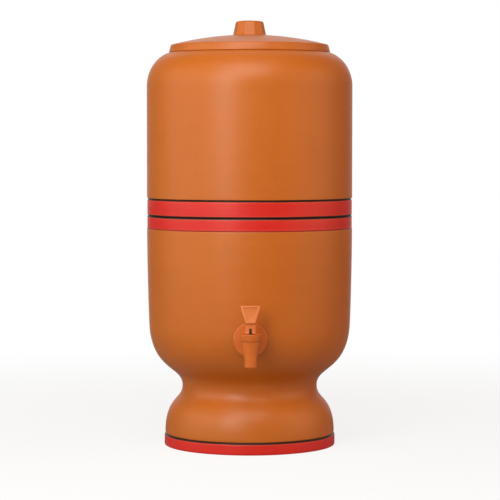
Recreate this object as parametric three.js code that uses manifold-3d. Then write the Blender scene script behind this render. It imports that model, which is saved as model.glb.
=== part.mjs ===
import * as THREE from "three";
import { mergeVertices, toCreasedNormals } from "three/addons/utils/BufferGeometryUtils.js";
import Module from "manifold-3d";

// A gravity water filter of fired clay, for a kitchen counter.
// Water poured into the upper chamber seeps through two ceramic candles and runs down their stems into the
// lower chamber. A float valve under each candle stops the flow when the lower chamber is full, and a lever
// tap at the front lets the filtered water out.
// Millimetres, +Z up, with the tap on the -Y side.

// Fits that every piece shares
const seatGap = 0.3;
const cutOverrun = 3;
const edgeRound = 1.7;

// Clay bodies: what both have alike, and the height where they meet
const bodyRadius = 130;
const clayWall = 9;
const bandInset = 0.4;
const lineDepth = 1.3;
const jointHeight = 291.1;

// Lower chamber with its hollow foot
const footRadius = 108.3;
const footBandHeight = 13.1;
const footLineHeight = 2.8;
const footTopRadius = 107.3;
const footShoulderHeight = 60.7;
const footWall = 10.5;
const waistRadius = 85.5;
const waistHeight = 75.3;
const waistLowerPull = 19.5;
const waistUpperPull = 25.5;
const bellyTaper = 2.4;
const bellyHeight = 156.3;
const bellyPull = 62.5;
const bellyPullInset = 1.8;
const lowerBandHeight = 13.4;
const scribedLineHeight = 1.2;
const scribedLineDepth = 0.6;
const reservoirFloorHeight = 94.3;
const reservoirFloorThickness = 11;
const reservoirFloorRadius = 60;
const reservoirCornerPull = 28;
const reservoirWallPull = 49;
const hollowCeilingRadius = 48;
const hollowNeckDepth = 16;
const hollowNeckPull = 16;
const hollowFlarePull = 34;
const hollowMouthHeight = 12;
const lipRound = 3;

// Upper chamber
const upperHeight = 205;
const upperBandHeight = 17.8;
const upperLineHeight = 2.6;
const shoulderWidth = 38.4;
const shoulderHeight = 44;
const mouthRadius = 88.3;
const mouthLipDepth = 11;
const spigotDepth = 8.1;
const spigotClearance = 2.2;
const chamberFloorThickness = 14;
const chamberCornerRound = 14;

// Lid
const lidRadius = 102;
const lidRimHeight = 9.6;
const lidRimDraft = 2.4;
const lidRimRound = 1.6;
const lidRise = 12.8;
const lidThickness = 10;
const skirtDepth = 10;
const skirtWall = 8;
const skirtClearance = 1.9;
const knobSides = 10;
const knobRadius = 20.7;
const knobTopRadius = 17.6;
const knobHeight = 18;
const knobRound = 3;
const knobCrown = 0.9;

// Filter candles, one each side of the middle
const candleWallGap = 34.9;
const candleRadius = 28.5;
const candleHeight = 92;
const candleWall = 7;
const candleDomeHeight = 23;
const candleCupWall = 2.3;
const candleCupHeight = 11;
const candleCupFloor = 3;
const stemRadius = 6;
const stemBore = 2.5;
const stemHoleRadius = 7.5;
const topWasherRadius = 20;
const topWasherThickness = 3;
const lowerWasherRadius = 15;
const lowerWasherThickness = 2.5;
const wingNutRadius = 9.8;
const wingNutHeight = 9;
const wingSpan = 40;
const wingThickness = 4;
const wingRise = 3;

// Float valves under the candles
const valveRadius = 9.5;
const valveHeight = 25;
const valveSocketDepth = 13;
const valveGap = 1;
const nozzleRadius = 3.8;
const nozzleBore = 1.8;
const nozzleLength = 3;
const sealRadius = 4.2;
const sealThickness = 2;
const pivotOffset = 14;
const pivotPinRadius = 1.5;
const earThickness = 2.6;
const earReach = 4.5;
const earOverlap = 8;
const armWidth = 6;
const armThickness = 4;
const armHeel = 5;
const floatRadius = 21;
const floatWallGap = 14.7;
const floatHeight = 26;
const floatRound = 5;
const floatSocketDepth = 17;
const floatDroop = 30;

// Tap: the body, the seals at the wall and the nut behind it
const tapHeight = 144.8;
const tapReach = 30;
const flangeRadius = 20.9;
const flangeThickness = 3;
const flangeRound = 0.8;
const flangeStandoff = 1.2;
const hubRadius = 10;
const hubLength = 5;
const outerGasketRadius = 17;
const innerGasketRadius = 14.5;
const innerGasketThickness = 3;
const shankRadius = 7.8;
const shankHoleRadius = 8.6;
const shankBore = 4.2;
const shankTail = 5;
const tapNutRadius = 15;
const tapNutThickness = 7;
const neckRadius = 5.5;
const neckBore = 3.2;
const neckDrop = 7;
const neckPull = 8;

// Tap: the barrel with its spout, and the cap screwed on top
const spoutRadius = 7.4;
const spoutBore = 4.4;
const spoutDrop = 31.2;
const spoutStraight = 9.6;
const barrelKneeRadius = 8.9;
const barrelKneeDrop = 11.5;
const barrelRadius = 11.6;
const barrelNeckWall = 2.8;
const barrelNeckHeight = 5;
const chamberRadius = 7.2;
const seatDrop = 13.5;
const seatDepth = 3;
const capRadius = 12.1;
const capTopRadius = 13.7;
const capHeight = 8.6;
const capRound = 0.7;
const capTopThickness = 2;
const capSlotWidth = 4.2;
const capSlotDepth = 5.8;

// Tap: the rubber cup that shuts the seat, its stem and its spring
const cupRim = 1;
const cupSkin = 0.9;
const cupPlugRadius = 5.7;
const cupPlugHeight = 6.4;
const cupHeadRadius = 3.1;
const cupHeadHeight = 1.8;
const stemRodRadius = 1.9;
const stemCollarRadius = 4.6;
const stemCollarThickness = 1;
const tangDepth = 5;
const springWire = 0.8;
const springRadius = 3.9;
const springTurns = 5;

// Tap: the lever that rides on the cap
const pinRise = 3.7;
const leverPinRadius = 1;
const forkGap = 3.4;
const prongWidth = 4.4;
const neckDepth = 4.4;
const camDepth = 11;
const camRound = 0.6;
const camRise = 5;
const paddleBottomHeight = 12.2;
const paddleHeight = 21.2;
const paddleTopWidth = 24.2;
const paddleBottomWidth = 11.8;
const paddleThickness = 4.6;
const paddleForward = 1.1;
const paddleLean = 7;
const paddleBorder = 2.2;
const paddleRecess = 0.9;
const paddleRound = 0.6;

// How finely round forms are cut
const vesselFacets = 36;
const fittingFacets = 16;
const smallFacets = 12;

// Finishes
const clay = { color: "#c87038", roughness: 0.62 };
const bandColour = "#d23325";
const lineColour = "#2a1410";
const ceramic = { color: "#efe9dc", roughness: 0.85 };
const bluePlastic = { color: "#3f7fb5", roughness: 0.4 };
const whitePlastic = { color: "#eeeeea", roughness: 0.4 };
const tapPlastic = { color: "#d0763c", roughness: 0.42 };
const blackPlastic = { color: "#2b2b2b", roughness: 0.5 };
const rubber = { color: "#2f2f2f", roughness: 0.8 };
const silicone = { color: "#d9d4c8", roughness: 0.5 };
const steel = { color: "#b9bcc0", roughness: 0.3, metalness: 1 };
const foam = { color: "#f4f3ee", roughness: 0.7 };

// Places that follow from the sizes above: the belly, the candles and floats inside it, and the heights
const bellyRadius = bodyRadius - bellyTaper;
const candleCupRadius = candleRadius + seatGap + candleCupWall;
const candleSpacing = 2 * (bodyRadius - clayWall - candleWallGap - candleCupRadius);
const floatCircle = bellyRadius - clayWall - floatWallGap - floatRadius;
const floatReach = Math.sqrt(floatCircle ** 2 - (candleSpacing / 2) ** 2);
const seatPlane = jointHeight + seatGap;
const lipHeight = jointHeight + upperHeight;
const upperUnderside = jointHeight - spigotDepth;
const chamberFloor = upperUnderside + chamberFloorThickness;
const lidSeat = lipHeight + seatGap;
const halfTurn = Math.PI;

const wasm = await Module();
wasm.setup();

// Solids and their cuts

// A closed geometry as a solid, turned outside out if its faces point inwards.
function solidOf(geometry) {
  const loose = geometry.index ? geometry.toNonIndexed() : geometry.clone();
  loose.deleteAttribute("normal");
  loose.deleteAttribute("uv");
  const welded = mergeVertices(loose);
  const corners = new Uint32Array(welded.index.array);
  const build = () =>
    new wasm.Manifold(
      new wasm.Mesh({ numProp: 3, vertProperties: welded.attributes.position.array, triVerts: corners }),
    );
  const solid = build();
  if (solid.volume() > 0) return solid;
  for (let i = 0; i < corners.length; i += 3) {
    [corners[i], corners[i + 1]] = [corners[i + 1], corners[i]];
  }
  return build();
}

// A solid as a geometry with soft shading on round faces and crisp edges.
function geometryOf(solid) {
  const mesh = solid.getMesh();
  const positions = new Float32Array(mesh.numVert * 3);
  for (let i = 0; i < mesh.numVert; i++) {
    positions.set(mesh.vertProperties.subarray(i * mesh.numProp, i * mesh.numProp + 3), i * 3);
  }
  const geometry = new THREE.BufferGeometry();
  geometry.setAttribute("position", new THREE.BufferAttribute(positions, 3));
  geometry.setIndex(new THREE.BufferAttribute(mesh.triVerts, 1));
  return toCreasedNormals(geometry, Math.PI / 5);
}

const at = (radius, height) => new THREE.Vector2(radius, height);

const bezier = (from, fromPull, toPull, to, steps) =>
  new THREE.CubicBezierCurve(from, fromPull, toPull, to).getPoints(steps);

const [up, down, out, inward] = [at(0, 1), at(0, -1), at(1, 0), at(-1, 0)];

// A corner rounded from one side of its tip to the other, leaving both edges at the same distance.
function rounded(tip, from, to, size, steps) {
  const start = tip.clone().addScaledVector(from, size);
  const end = tip.clone().addScaledVector(to, size);
  return new THREE.QuadraticBezierCurve(start, tip, end).getPoints(steps);
}

// A quarter of an ellipse from the side of the form up to its top, or down to its bottom.
function quarter(centre, width, height, steps) {
  return Array.from({ length: steps + 1 }, (_, i) => {
    const turn = ((Math.PI / 2) * i) / steps;
    return at(centre.x + width * Math.cos(turn), centre.y + height * Math.sin(turn));
  });
}

// A solid of revolution about Z. The first facet's edge is at the front, on -Y.
function revolve(profile, facets) {
  const points = profile.filter((p, i) => i === 0 || p.distanceTo(profile[i - 1]) > Number.EPSILON);
  return solidOf(new THREE.LatheGeometry(points, facets).rotateX(Math.PI / 2));
}

// A ring or, with no hole, a disc, from one height up to another.
function ring(radius, hole, bottom, top, facets) {
  const inner = [at(hole, bottom), at(radius, bottom), at(radius, top), at(hole, top)];
  return revolve(hole > 0 ? [...inner, at(hole, bottom)] : inner, facets);
}

// The same standing on edge, with its axis along Y and its span given from front to back.
function ringAlongY(radius, hole, front, back, height, facets) {
  return ring(radius, hole, -back, -front, facets).rotate([90, 0, 0]).translate([0, 0, height]);
}

function block(width, depth, height, centre) {
  return solidOf(new THREE.BoxGeometry(width, depth, height).translate(...centre));
}

// A pin or hole along X through a point of the YZ plane.
function rodAlongX(radius, length, y, z, facets) {
  return ring(radius, 0, -length / 2, length / 2, facets).rotate([0, 90, 0]).translate([0, y, z]);
}

// A flat outline in the YZ plane, given as [y, z] points, with its thickness centred on x.
function plateInYZ(outline, thickness, x) {
  const shape = new THREE.Shape(outline.map(([y, z]) => at(y, z)));
  const flat = new THREE.ExtrudeGeometry(shape, { depth: thickness, bevelEnabled: false, steps: 1 });
  flat.translate(0, 0, -thickness / 2);
  const toYZ = new THREE.Matrix4().makeBasis(
    new THREE.Vector3(0, 1, 0),
    new THREE.Vector3(0, 0, 1),
    new THREE.Vector3(1, 0, 0),
  );
  return solidOf(flat.applyMatrix4(toYZ).translate(x, 0, 0));
}

// A round tube or bore along a curve.
function tubeAlong(curve, radius, steps, sides) {
  const section = new THREE.Shape(
    Array.from({ length: sides }, (_, i) => {
      const turn = (2 * Math.PI * i) / sides;
      return at(radius * Math.cos(turn), radius * Math.sin(turn));
    }),
  );
  return solidOf(new THREE.ExtrudeGeometry(section, { extrudePath: curve, steps, bevelEnabled: false }));
}

// A part of the filter: a named mesh with its own material.
function piece(name, solid, finish) {
  const mesh = new THREE.Mesh(geometryOf(solid), new THREE.MeshStandardMaterial(finish));
  mesh.name = name;
  return mesh;
}

// Paints bands on a clay body: each face between two heights and outside a radius takes the band's colour.
function paint(mesh, coats) {
  const position = mesh.geometry.getAttribute("position");
  const colours = new Float32Array(position.count * 3);
  const bare = new THREE.Color(mesh.material.color);
  const middle = new THREE.Vector3();
  const point = new THREE.Vector3();
  for (let face = 0; face < position.count; face += 3) {
    middle.set(0, 0, 0);
    for (let i = 0; i < 3; i++) middle.add(point.fromBufferAttribute(position, face + i));
    middle.divideScalar(3);
    const radius = Math.hypot(middle.x, middle.y);
    const coat = coats.find((c) => middle.z > c.from && middle.z < c.to && radius > c.outside);
    const colour = coat ? new THREE.Color(coat.colour) : bare;
    for (let i = 0; i < 3; i++) colour.toArray(colours, (face + i) * 3);
  }
  mesh.geometry.setAttribute("color", new THREE.BufferAttribute(colours, 3));
  mesh.material.color.set("#ffffff");
  mesh.material.vertexColors = true;
  return mesh;
}

// Lower chamber

// The outline from the foot's ground ring up to the top of the rim, moved out by grow.
function lowerOutside(grow) {
  const footTop = footBandHeight + footLineHeight;
  const bandBottom = jointHeight - edgeRound - lowerBandHeight;
  const scribeBottom = bandBottom - scribedLineHeight;
  const bandRadius = bodyRadius - bandInset;
  const slope = (bodyRadius - bellyRadius) / (scribeBottom - bellyHeight);
  const outline = [
    at(footRadius - edgeRound, 0),
    at(footRadius, edgeRound),
    at(footRadius, footBandHeight),
    at(footRadius - lineDepth, footBandHeight + footLineHeight / 3),
    at(footTopRadius - lineDepth, footTop - footLineHeight / 3),
    ...bezier(
      at(footTopRadius, footTop),
      at(footTopRadius, footShoulderHeight),
      at(waistRadius, waistHeight - waistLowerPull),
      at(waistRadius, waistHeight),
      8,
    ),
    ...bezier(
      at(waistRadius, waistHeight),
      at(waistRadius, waistHeight + waistUpperPull),
      at(bellyRadius - bellyPullInset, bellyHeight - bellyPull),
      at(bellyRadius, bellyHeight),
      10,
    ),
    ...bezier(
      at(bellyRadius, bellyHeight),
      at(bellyRadius + slope * bellyPull, bellyHeight + bellyPull / 2),
      at(bodyRadius, scribeBottom - bellyPull / 2),
      at(bodyRadius, scribeBottom),
      3,
    ),
    at(bodyRadius - scribedLineDepth, scribeBottom + scribedLineHeight / 3),
    at(bodyRadius - scribedLineDepth, bandBottom - scribedLineHeight / 3),
    at(bandRadius, bandBottom),
    ...rounded(at(bandRadius, jointHeight), down, inward, edgeRound, 2),
  ];
  return outline.map((p) => at(p.x + grow, p.y));
}

// The outline of the water space, from the rim down to the middle of the floor, moved in by shrink.
function lowerInside(shrink) {
  const rimInner = bodyRadius - clayWall;
  const wallRadius = bellyRadius - clayWall;
  const outline = [
    ...rounded(at(rimInner, jointHeight), out, down, lipRound, 2),
    ...bezier(
      at(wallRadius, bellyHeight),
      at(wallRadius, bellyHeight - reservoirWallPull),
      at(reservoirFloorRadius + reservoirCornerPull, reservoirFloorHeight),
      at(reservoirFloorRadius, reservoirFloorHeight),
      6,
    ),
  ];
  return [...outline.map((p) => at(p.x - shrink, p.y)), at(0, reservoirFloorHeight)];
}

// The hollow under the reservoir, from the middle of its ceiling down to the foot's inner edge.
function footHollow() {
  const ceiling = reservoirFloorHeight - reservoirFloorThickness;
  const neck = waistRadius - footWall;
  const neckHeight = ceiling - hollowNeckDepth;
  const mouth = footRadius - footWall;
  return [
    at(0, ceiling),
    ...bezier(
      at(hollowCeilingRadius, ceiling),
      at(neck - hollowNeckDepth / 2, ceiling),
      at(neck, neckHeight + hollowNeckDepth / 2),
      at(neck, neckHeight),
      4,
    ),
    ...bezier(
      at(neck, neckHeight),
      at(neck, neckHeight - hollowNeckPull),
      at(mouth, hollowMouthHeight + hollowFlarePull),
      at(mouth, hollowMouthHeight),
      4,
    ),
    at(mouth, 0),
  ];
}

// The vessel's outer radius at a height on its belly.
function bellyRadiusAt(height) {
  const outline = lowerOutside(0);
  const above = outline.findIndex((p) => p.y > height);
  const [a, b] = [outline[above - 1], outline[above]];
  return a.x + ((b.x - a.x) * (height - a.y)) / (b.y - a.y);
}

// The greatest outer radius between two heights on the belly.
function widestBelly(low, high) {
  const between = lowerOutside(0).filter((p) => p.y > low && p.y < high);
  return Math.max(bellyRadiusAt(low), bellyRadiusAt(high), ...between.map((p) => p.x));
}

// The reservoir's inner radius at a height on its wall.
function reservoirRadiusAt(height) {
  const outline = lowerInside(0);
  const below = outline.findIndex((p) => p.y < height);
  const [a, b] = [outline[below - 1], outline[below]];
  return a.x + ((b.x - a.x) * (height - a.y)) / (b.y - a.y);
}

function lowerChamber() {
  const vessel = revolve([...footHollow(), ...lowerOutside(0), ...lowerInside(0)], vesselFacets);
  const { flangeBack, innerWall } = tapPlaces();
  const [outerEnd, innerEnd] = [flangeBack - cutOverrun, innerWall + cutOverrun];
  const hole = ringAlongY(shankHoleRadius, 0, outerEnd, innerEnd, tapHeight, fittingFacets);
  const mesh = piece("lower_chamber", vessel.subtract(hole), clay);
  const bandTop = jointHeight - edgeRound;
  const bandBottom = bandTop - lowerBandHeight;
  const outside = footRadius - footWall / 2;
  const rim = bodyRadius - clayWall / 2;
  return paint(mesh, [
    { from: 0, to: footBandHeight, outside, colour: bandColour },
    { from: footBandHeight, to: footBandHeight + footLineHeight, outside, colour: lineColour },
    { from: bandBottom - scribedLineHeight, to: bandBottom, outside: rim, colour: lineColour },
    { from: bandBottom, to: bandTop, outside: rim, colour: bandColour },
    { from: bandTop, to: jointHeight, outside: rim, colour: lineColour },
  ]);
}

// Upper chamber

function upperChamber() {
  const spigotRadius = bodyRadius - clayWall - spigotClearance;
  const bandRadius = bodyRadius - bandInset;
  const bandBottom = seatPlane + edgeRound;
  const bandTop = bandBottom + upperBandHeight;
  const lineTop = bandTop + upperLineHeight;
  const innerRadius = bodyRadius - clayWall;
  const shoulderStart = lipHeight - shoulderHeight * Math.sqrt(1 - shoulderCut() ** 2);
  const shoulderCentre = at(bodyRadius - shoulderWidth, shoulderStart);
  const shoulder = quarter(shoulderCentre, shoulderWidth, shoulderHeight, 10);
  const insideHeight = lipHeight - mouthLipDepth - shoulderStart;
  const inside = quarter(at(mouthRadius, shoulderStart), innerRadius - mouthRadius, insideHeight, 7);
  const outline = [
    at(0, upperUnderside),
    ...rounded(at(spigotRadius, upperUnderside), inward, up, edgeRound, 2),
    at(spigotRadius, seatPlane),
    ...rounded(at(bandRadius, seatPlane), inward, up, edgeRound, 2),
    at(bandRadius, bandTop),
    at(bandRadius - lineDepth, bandTop + upperLineHeight / 3),
    at(bodyRadius - lineDepth, lineTop - upperLineHeight / 3),
    at(bodyRadius, lineTop),
    ...shoulder.filter((p) => p.y < lipHeight - edgeRound / 3),
    at(shoulderTopRadius(), lipHeight),
    ...rounded(at(mouthRadius, lipHeight), out, down, lipRound, 2),
    ...inside.reverse(),
    ...rounded(at(innerRadius, chamberFloor), up, inward, chamberCornerRound, 4),
    at(0, chamberFloor),
  ];
  let vessel = revolve(outline, vesselFacets);
  const holeBottom = upperUnderside - cutOverrun;
  const hole = ring(stemHoleRadius, 0, holeBottom, chamberFloor + cutOverrun, smallFacets);
  for (const side of [-1, 1]) {
    vessel = vessel.subtract(hole.translate([(side * candleSpacing) / 2, 0, 0]));
  }
  const outside = bodyRadius - clayWall / 2;
  return paint(piece("upper_chamber", vessel, clay), [
    { from: seatPlane, to: bandBottom, outside, colour: lineColour },
    { from: bandBottom, to: bandTop, outside, colour: bandColour },
    { from: bandTop, to: lineTop, outside, colour: lineColour },
  ]);
}

// The share of the shoulder's width that the curve keeps where it meets the flat lip.
function shoulderCut() {
  return (shoulderTopRadius() - (bodyRadius - shoulderWidth)) / shoulderWidth;
}

function shoulderTopRadius() {
  return lidRadius + seatGap;
}

// Lid

function lid() {
  const rimTop = lidSeat + lidRimHeight;
  const rimTopRadius = lidRadius - lidRimDraft;
  const crown = rimTop + lidRise;
  const sphere = (rimTopRadius ** 2 + lidRise ** 2) / (2 * lidRise);
  const domeHeight = (radius) => crown - (sphere - Math.sqrt(sphere ** 2 - radius ** 2));
  const skirtRadius = mouthRadius - skirtClearance;
  const skirtInner = skirtRadius - skirtWall;
  const domeEdge = rimTopRadius - lidRimRound;
  const outerDome = [4, 3, 2, 1, 0].map((step) => (domeEdge * step) / 5);
  const innerDome = [0, 1, 2, 3].map((step) => (skirtInner * step) / 3);
  const outline = [
    ...innerDome.map((radius) => at(radius, domeHeight(radius) - lidThickness)),
    at(skirtInner, lidSeat - skirtDepth + edgeRound),
    at(skirtInner + edgeRound, lidSeat - skirtDepth),
    at(skirtRadius - edgeRound, lidSeat - skirtDepth),
    at(skirtRadius, lidSeat - skirtDepth + edgeRound),
    at(skirtRadius, lidSeat),
    at(lidRadius - edgeRound / 2, lidSeat),
    at(lidRadius, lidSeat + edgeRound / 2),
    ...rounded(at(rimTopRadius, rimTop), down, inward, lidRimRound, 3),
    ...outerDome.map((radius) => at(radius, domeHeight(radius))),
  ];
  const plate = revolve(outline, vesselFacets);
  const knobTop = crown + knobHeight;
  const knobOutline = [
    at(0, crown - knobRound),
    at(knobRadius, crown - knobRound),
    at(knobRadius, domeHeight(knobRadius)),
    ...rounded(at(knobTopRadius, knobTop - knobCrown), down, inward, knobRound, 3),
    at(0, knobTop),
  ];
  const knob = revolve(knobOutline, knobSides).rotate([0, 0, 180 / knobSides]);
  return piece("lid", plate.add(knob), clay);
}

// Filter candles: one set is made about its own stem, and the other is the same set turned half round

function candleStack() {
  const washerBottom = chamberFloor + seatGap;
  const cupBottom = washerBottom + topWasherThickness + seatGap;
  const shellBottom = cupBottom + candleCupFloor + seatGap;
  const lowerWasherTop = upperUnderside - seatGap;
  const nutTop = lowerWasherTop - lowerWasherThickness - seatGap;
  const valveTop = nutTop - wingNutHeight - valveGap;
  const stemBottom = valveTop - valveSocketDepth + seatGap;
  return { washerBottom, cupBottom, shellBottom, lowerWasherTop, nutTop, valveTop, stemBottom };
}

function candleShell(name) {
  const { shellBottom } = candleStack();
  const top = shellBottom + candleHeight;
  const domeStart = top - candleDomeHeight;
  const innerRadius = candleRadius - candleWall;
  const outer = quarter(at(0, domeStart), candleRadius, candleDomeHeight, 5);
  const inner = quarter(at(0, domeStart), innerRadius, candleDomeHeight - candleWall, 4);
  const foot = at(innerRadius, shellBottom);
  const outline = [foot, at(candleRadius, shellBottom), ...outer, ...inner.reverse(), foot];
  return piece(name, revolve(outline, fittingFacets), ceramic);
}

function candleCup(name) {
  const { cupBottom, stemBottom } = candleStack();
  const floor = cupBottom + candleCupFloor;
  const top = cupBottom + candleCupHeight;
  const outline = [
    at(stemBore, stemBottom),
    at(stemRadius, stemBottom),
    at(stemRadius, cupBottom),
    at(candleCupRadius - candleCupWall / 2, cupBottom),
    at(candleCupRadius, cupBottom + candleCupWall / 2),
    at(candleCupRadius, top),
    at(candleCupRadius - candleCupWall, top),
    at(candleCupRadius - candleCupWall, floor),
    at(stemBore, floor),
    at(stemBore, stemBottom),
  ];
  return piece(name, revolve(outline, fittingFacets), bluePlastic);
}

function washer(name, radius, bottom, top) {
  return piece(name, ring(radius, stemRadius + seatGap, bottom, top, smallFacets), rubber);
}

function wingNut(name) {
  const { nutTop } = candleStack();
  const nutBottom = nutTop - wingNutHeight;
  const hub = ring(wingNutRadius, 0, nutBottom, nutTop, smallFacets);
  const wingHeight = wingNutHeight - wingRise;
  const wings = block(wingSpan, wingThickness, wingHeight, [0, 0, nutBottom + wingHeight / 2]);
  const bore = ring(stemRadius + seatGap, 0, nutBottom - cutOverrun, nutTop + cutOverrun, smallFacets);
  return piece(name, hub.add(wings).subtract(bore), bluePlastic);
}

// Float valves

function valveLevels() {
  const { valveTop } = candleStack();
  const bodyBottom = valveTop - valveHeight;
  const nozzleBottom = bodyBottom - nozzleLength;
  const sealTop = nozzleBottom - seatGap;
  const pivotHeight = sealTop - sealThickness - seatGap - armThickness / 2;
  return { valveTop, bodyBottom, nozzleBottom, sealTop, pivotHeight };
}

function valveBody(name) {
  const { valveTop, bodyBottom, nozzleBottom, pivotHeight } = valveLevels();
  const socketBottom = valveTop - valveSocketDepth;
  const outline = [
    at(nozzleBore, nozzleBottom),
    at(nozzleRadius, nozzleBottom),
    at(nozzleRadius, bodyBottom),
    at(valveRadius - edgeRound, bodyBottom),
    at(valveRadius, bodyBottom + edgeRound),
    at(valveRadius, valveTop),
    at(stemRadius + seatGap, valveTop),
    at(stemRadius + seatGap, socketBottom),
    at(nozzleBore, socketBottom),
    at(nozzleBore, nozzleBottom),
  ];
  let body = revolve(outline, fittingFacets);
  const socket = ring(stemRadius + seatGap, 0, bodyBottom, valveTop + cutOverrun, smallFacets);
  const earInner = armWidth / 2 + seatGap;
  const earTop = bodyBottom + earOverlap;
  const earBack = pivotOffset + earReach;
  const ear = [
    [0, bodyBottom + edgeRound],
    [pivotOffset - earReach, pivotHeight],
    [pivotOffset - earReach / 2, pivotHeight - earReach],
    [pivotOffset + earReach / 2, pivotHeight - earReach],
    [earBack, pivotHeight],
    [earBack, bodyBottom + edgeRound],
    [valveRadius - edgeRound, earTop],
    [0, earTop],
  ];
  for (const side of [-1, 1]) {
    body = body.add(plateInYZ(ear, earThickness, side * (earInner + earThickness / 2)).subtract(socket));
  }
  const droop = THREE.MathUtils.degToRad(floatDroop);
  const heelTop = armHeel * Math.sin(droop) + (armThickness / 2) * Math.cos(droop);
  const stopBottom = pivotHeight + heelTop + seatGap;
  const stopTop = Math.max(stopBottom + earThickness, bodyBottom + edgeRound);
  const stop = block(2 * earInner + earThickness, earBack - pivotOffset, stopTop - stopBottom, [
    0,
    (earBack + pivotOffset) / 2,
    (stopTop + stopBottom) / 2,
  ]);
  const acrossEars = 2 * (earInner + earThickness) + cutOverrun;
  const pinHole = rodAlongX(pivotPinRadius + seatGap, acrossEars, pivotOffset, pivotHeight, smallFacets);
  return piece(name, body.add(stop).subtract(pinHole), whitePlastic);
}

function pivotPin(name) {
  const { pivotHeight } = valveLevels();
  const length = armWidth + 2 * (seatGap + earThickness);
  return piece(name, rodAlongX(pivotPinRadius, length, pivotOffset, pivotHeight, smallFacets), steel);
}

// The arm, its seal and its float lie about the pivot as they do with the valve shut.
function floatArm(name) {
  const tip = pivotOffset + floatReach;
  const length = tip - floatRadius + floatSocketDepth - seatGap + armHeel;
  const bar = block(armWidth, length, armThickness, [0, armHeel - length / 2, 0]);
  const pinHole = rodAlongX(pivotPinRadius + seatGap, armWidth + cutOverrun, 0, 0, smallFacets);
  return piece(name, bar.subtract(pinHole), whitePlastic);
}

function floatSeal(name) {
  const bottom = armThickness / 2 + seatGap;
  const pad = ring(sealRadius, 0, bottom, bottom + sealThickness, smallFacets);
  return piece(name, pad.translate([0, -pivotOffset, 0]), rubber);
}

function floatDrum(name) {
  const half = floatHeight / 2;
  const outline = [
    at(0, -half),
    ...rounded(at(floatRadius, -half), inward, up, floatRound, 3),
    ...rounded(at(floatRadius, half), down, inward, floatRound, 3),
    at(0, half),
  ];
  const socketWidth = armWidth + 2 * seatGap;
  const socket = block(socketWidth, floatSocketDepth + cutOverrun, armThickness + 2 * seatGap, [
    0,
    floatRadius + cutOverrun - (floatSocketDepth + cutOverrun) / 2,
    0,
  ]);
  const drum = revolve(outline, fittingFacets).subtract(socket);
  return piece(name, drum.translate([0, -(pivotOffset + floatReach), 0]), foam);
}

function candleAssembly(side, angle) {
  const group = new THREE.Group();
  const { washerBottom, lowerWasherTop } = candleStack();
  const { pivotHeight } = valveLevels();
  const lowerWasherBottom = lowerWasherTop - lowerWasherThickness;
  group.add(
    candleShell(`${side}_candle`),
    candleCup(`${side}_candle_base`),
    washer(`${side}_upper_washer`, topWasherRadius, washerBottom, washerBottom + topWasherThickness),
    washer(`${side}_lower_washer`, lowerWasherRadius, lowerWasherBottom, lowerWasherTop),
    wingNut(`${side}_wing_nut`),
    valveBody(`${side}_valve_body`),
    pivotPin(`${side}_float_pin`),
  );
  const swing = new THREE.Group();
  swing.add(floatArm(`${side}_float_arm`), floatSeal(`${side}_valve_seal`), floatDrum(`${side}_float`));
  swing.position.set(0, pivotOffset, pivotHeight);
  swing.rotation.x = THREE.MathUtils.degToRad(floatDroop);
  group.add(swing);
  group.rotation.z = angle;
  group.position.x = (-Math.cos(angle) * candleSpacing) / 2;
  return group;
}

// Tap

// Where the tap's main faces and axes lie.
function tapPlaces() {
  const wallAtGasket = widestBelly(tapHeight - outerGasketRadius, tapHeight + outerGasketRadius);
  const wallAtFlange = widestBelly(tapHeight - flangeRadius, tapHeight + flangeRadius);
  const wallFront = Math.max(wallAtGasket + flangeStandoff, wallAtFlange + seatGap);
  const flangeBack = -(wallFront + seatGap);
  const barrelY = flangeBack - tapReach;
  const shoulder = tapHeight + edgeRound / 2;
  const innerWall = -(reservoirRadiusAt(tapHeight - innerGasketRadius) - seatGap);
  const nutFront = innerWall + innerGasketThickness;
  const capTop = shoulder + seatGap + capHeight;
  return { flangeBack, barrelY, shoulder, innerWall, nutFront, capTop };
}

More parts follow.
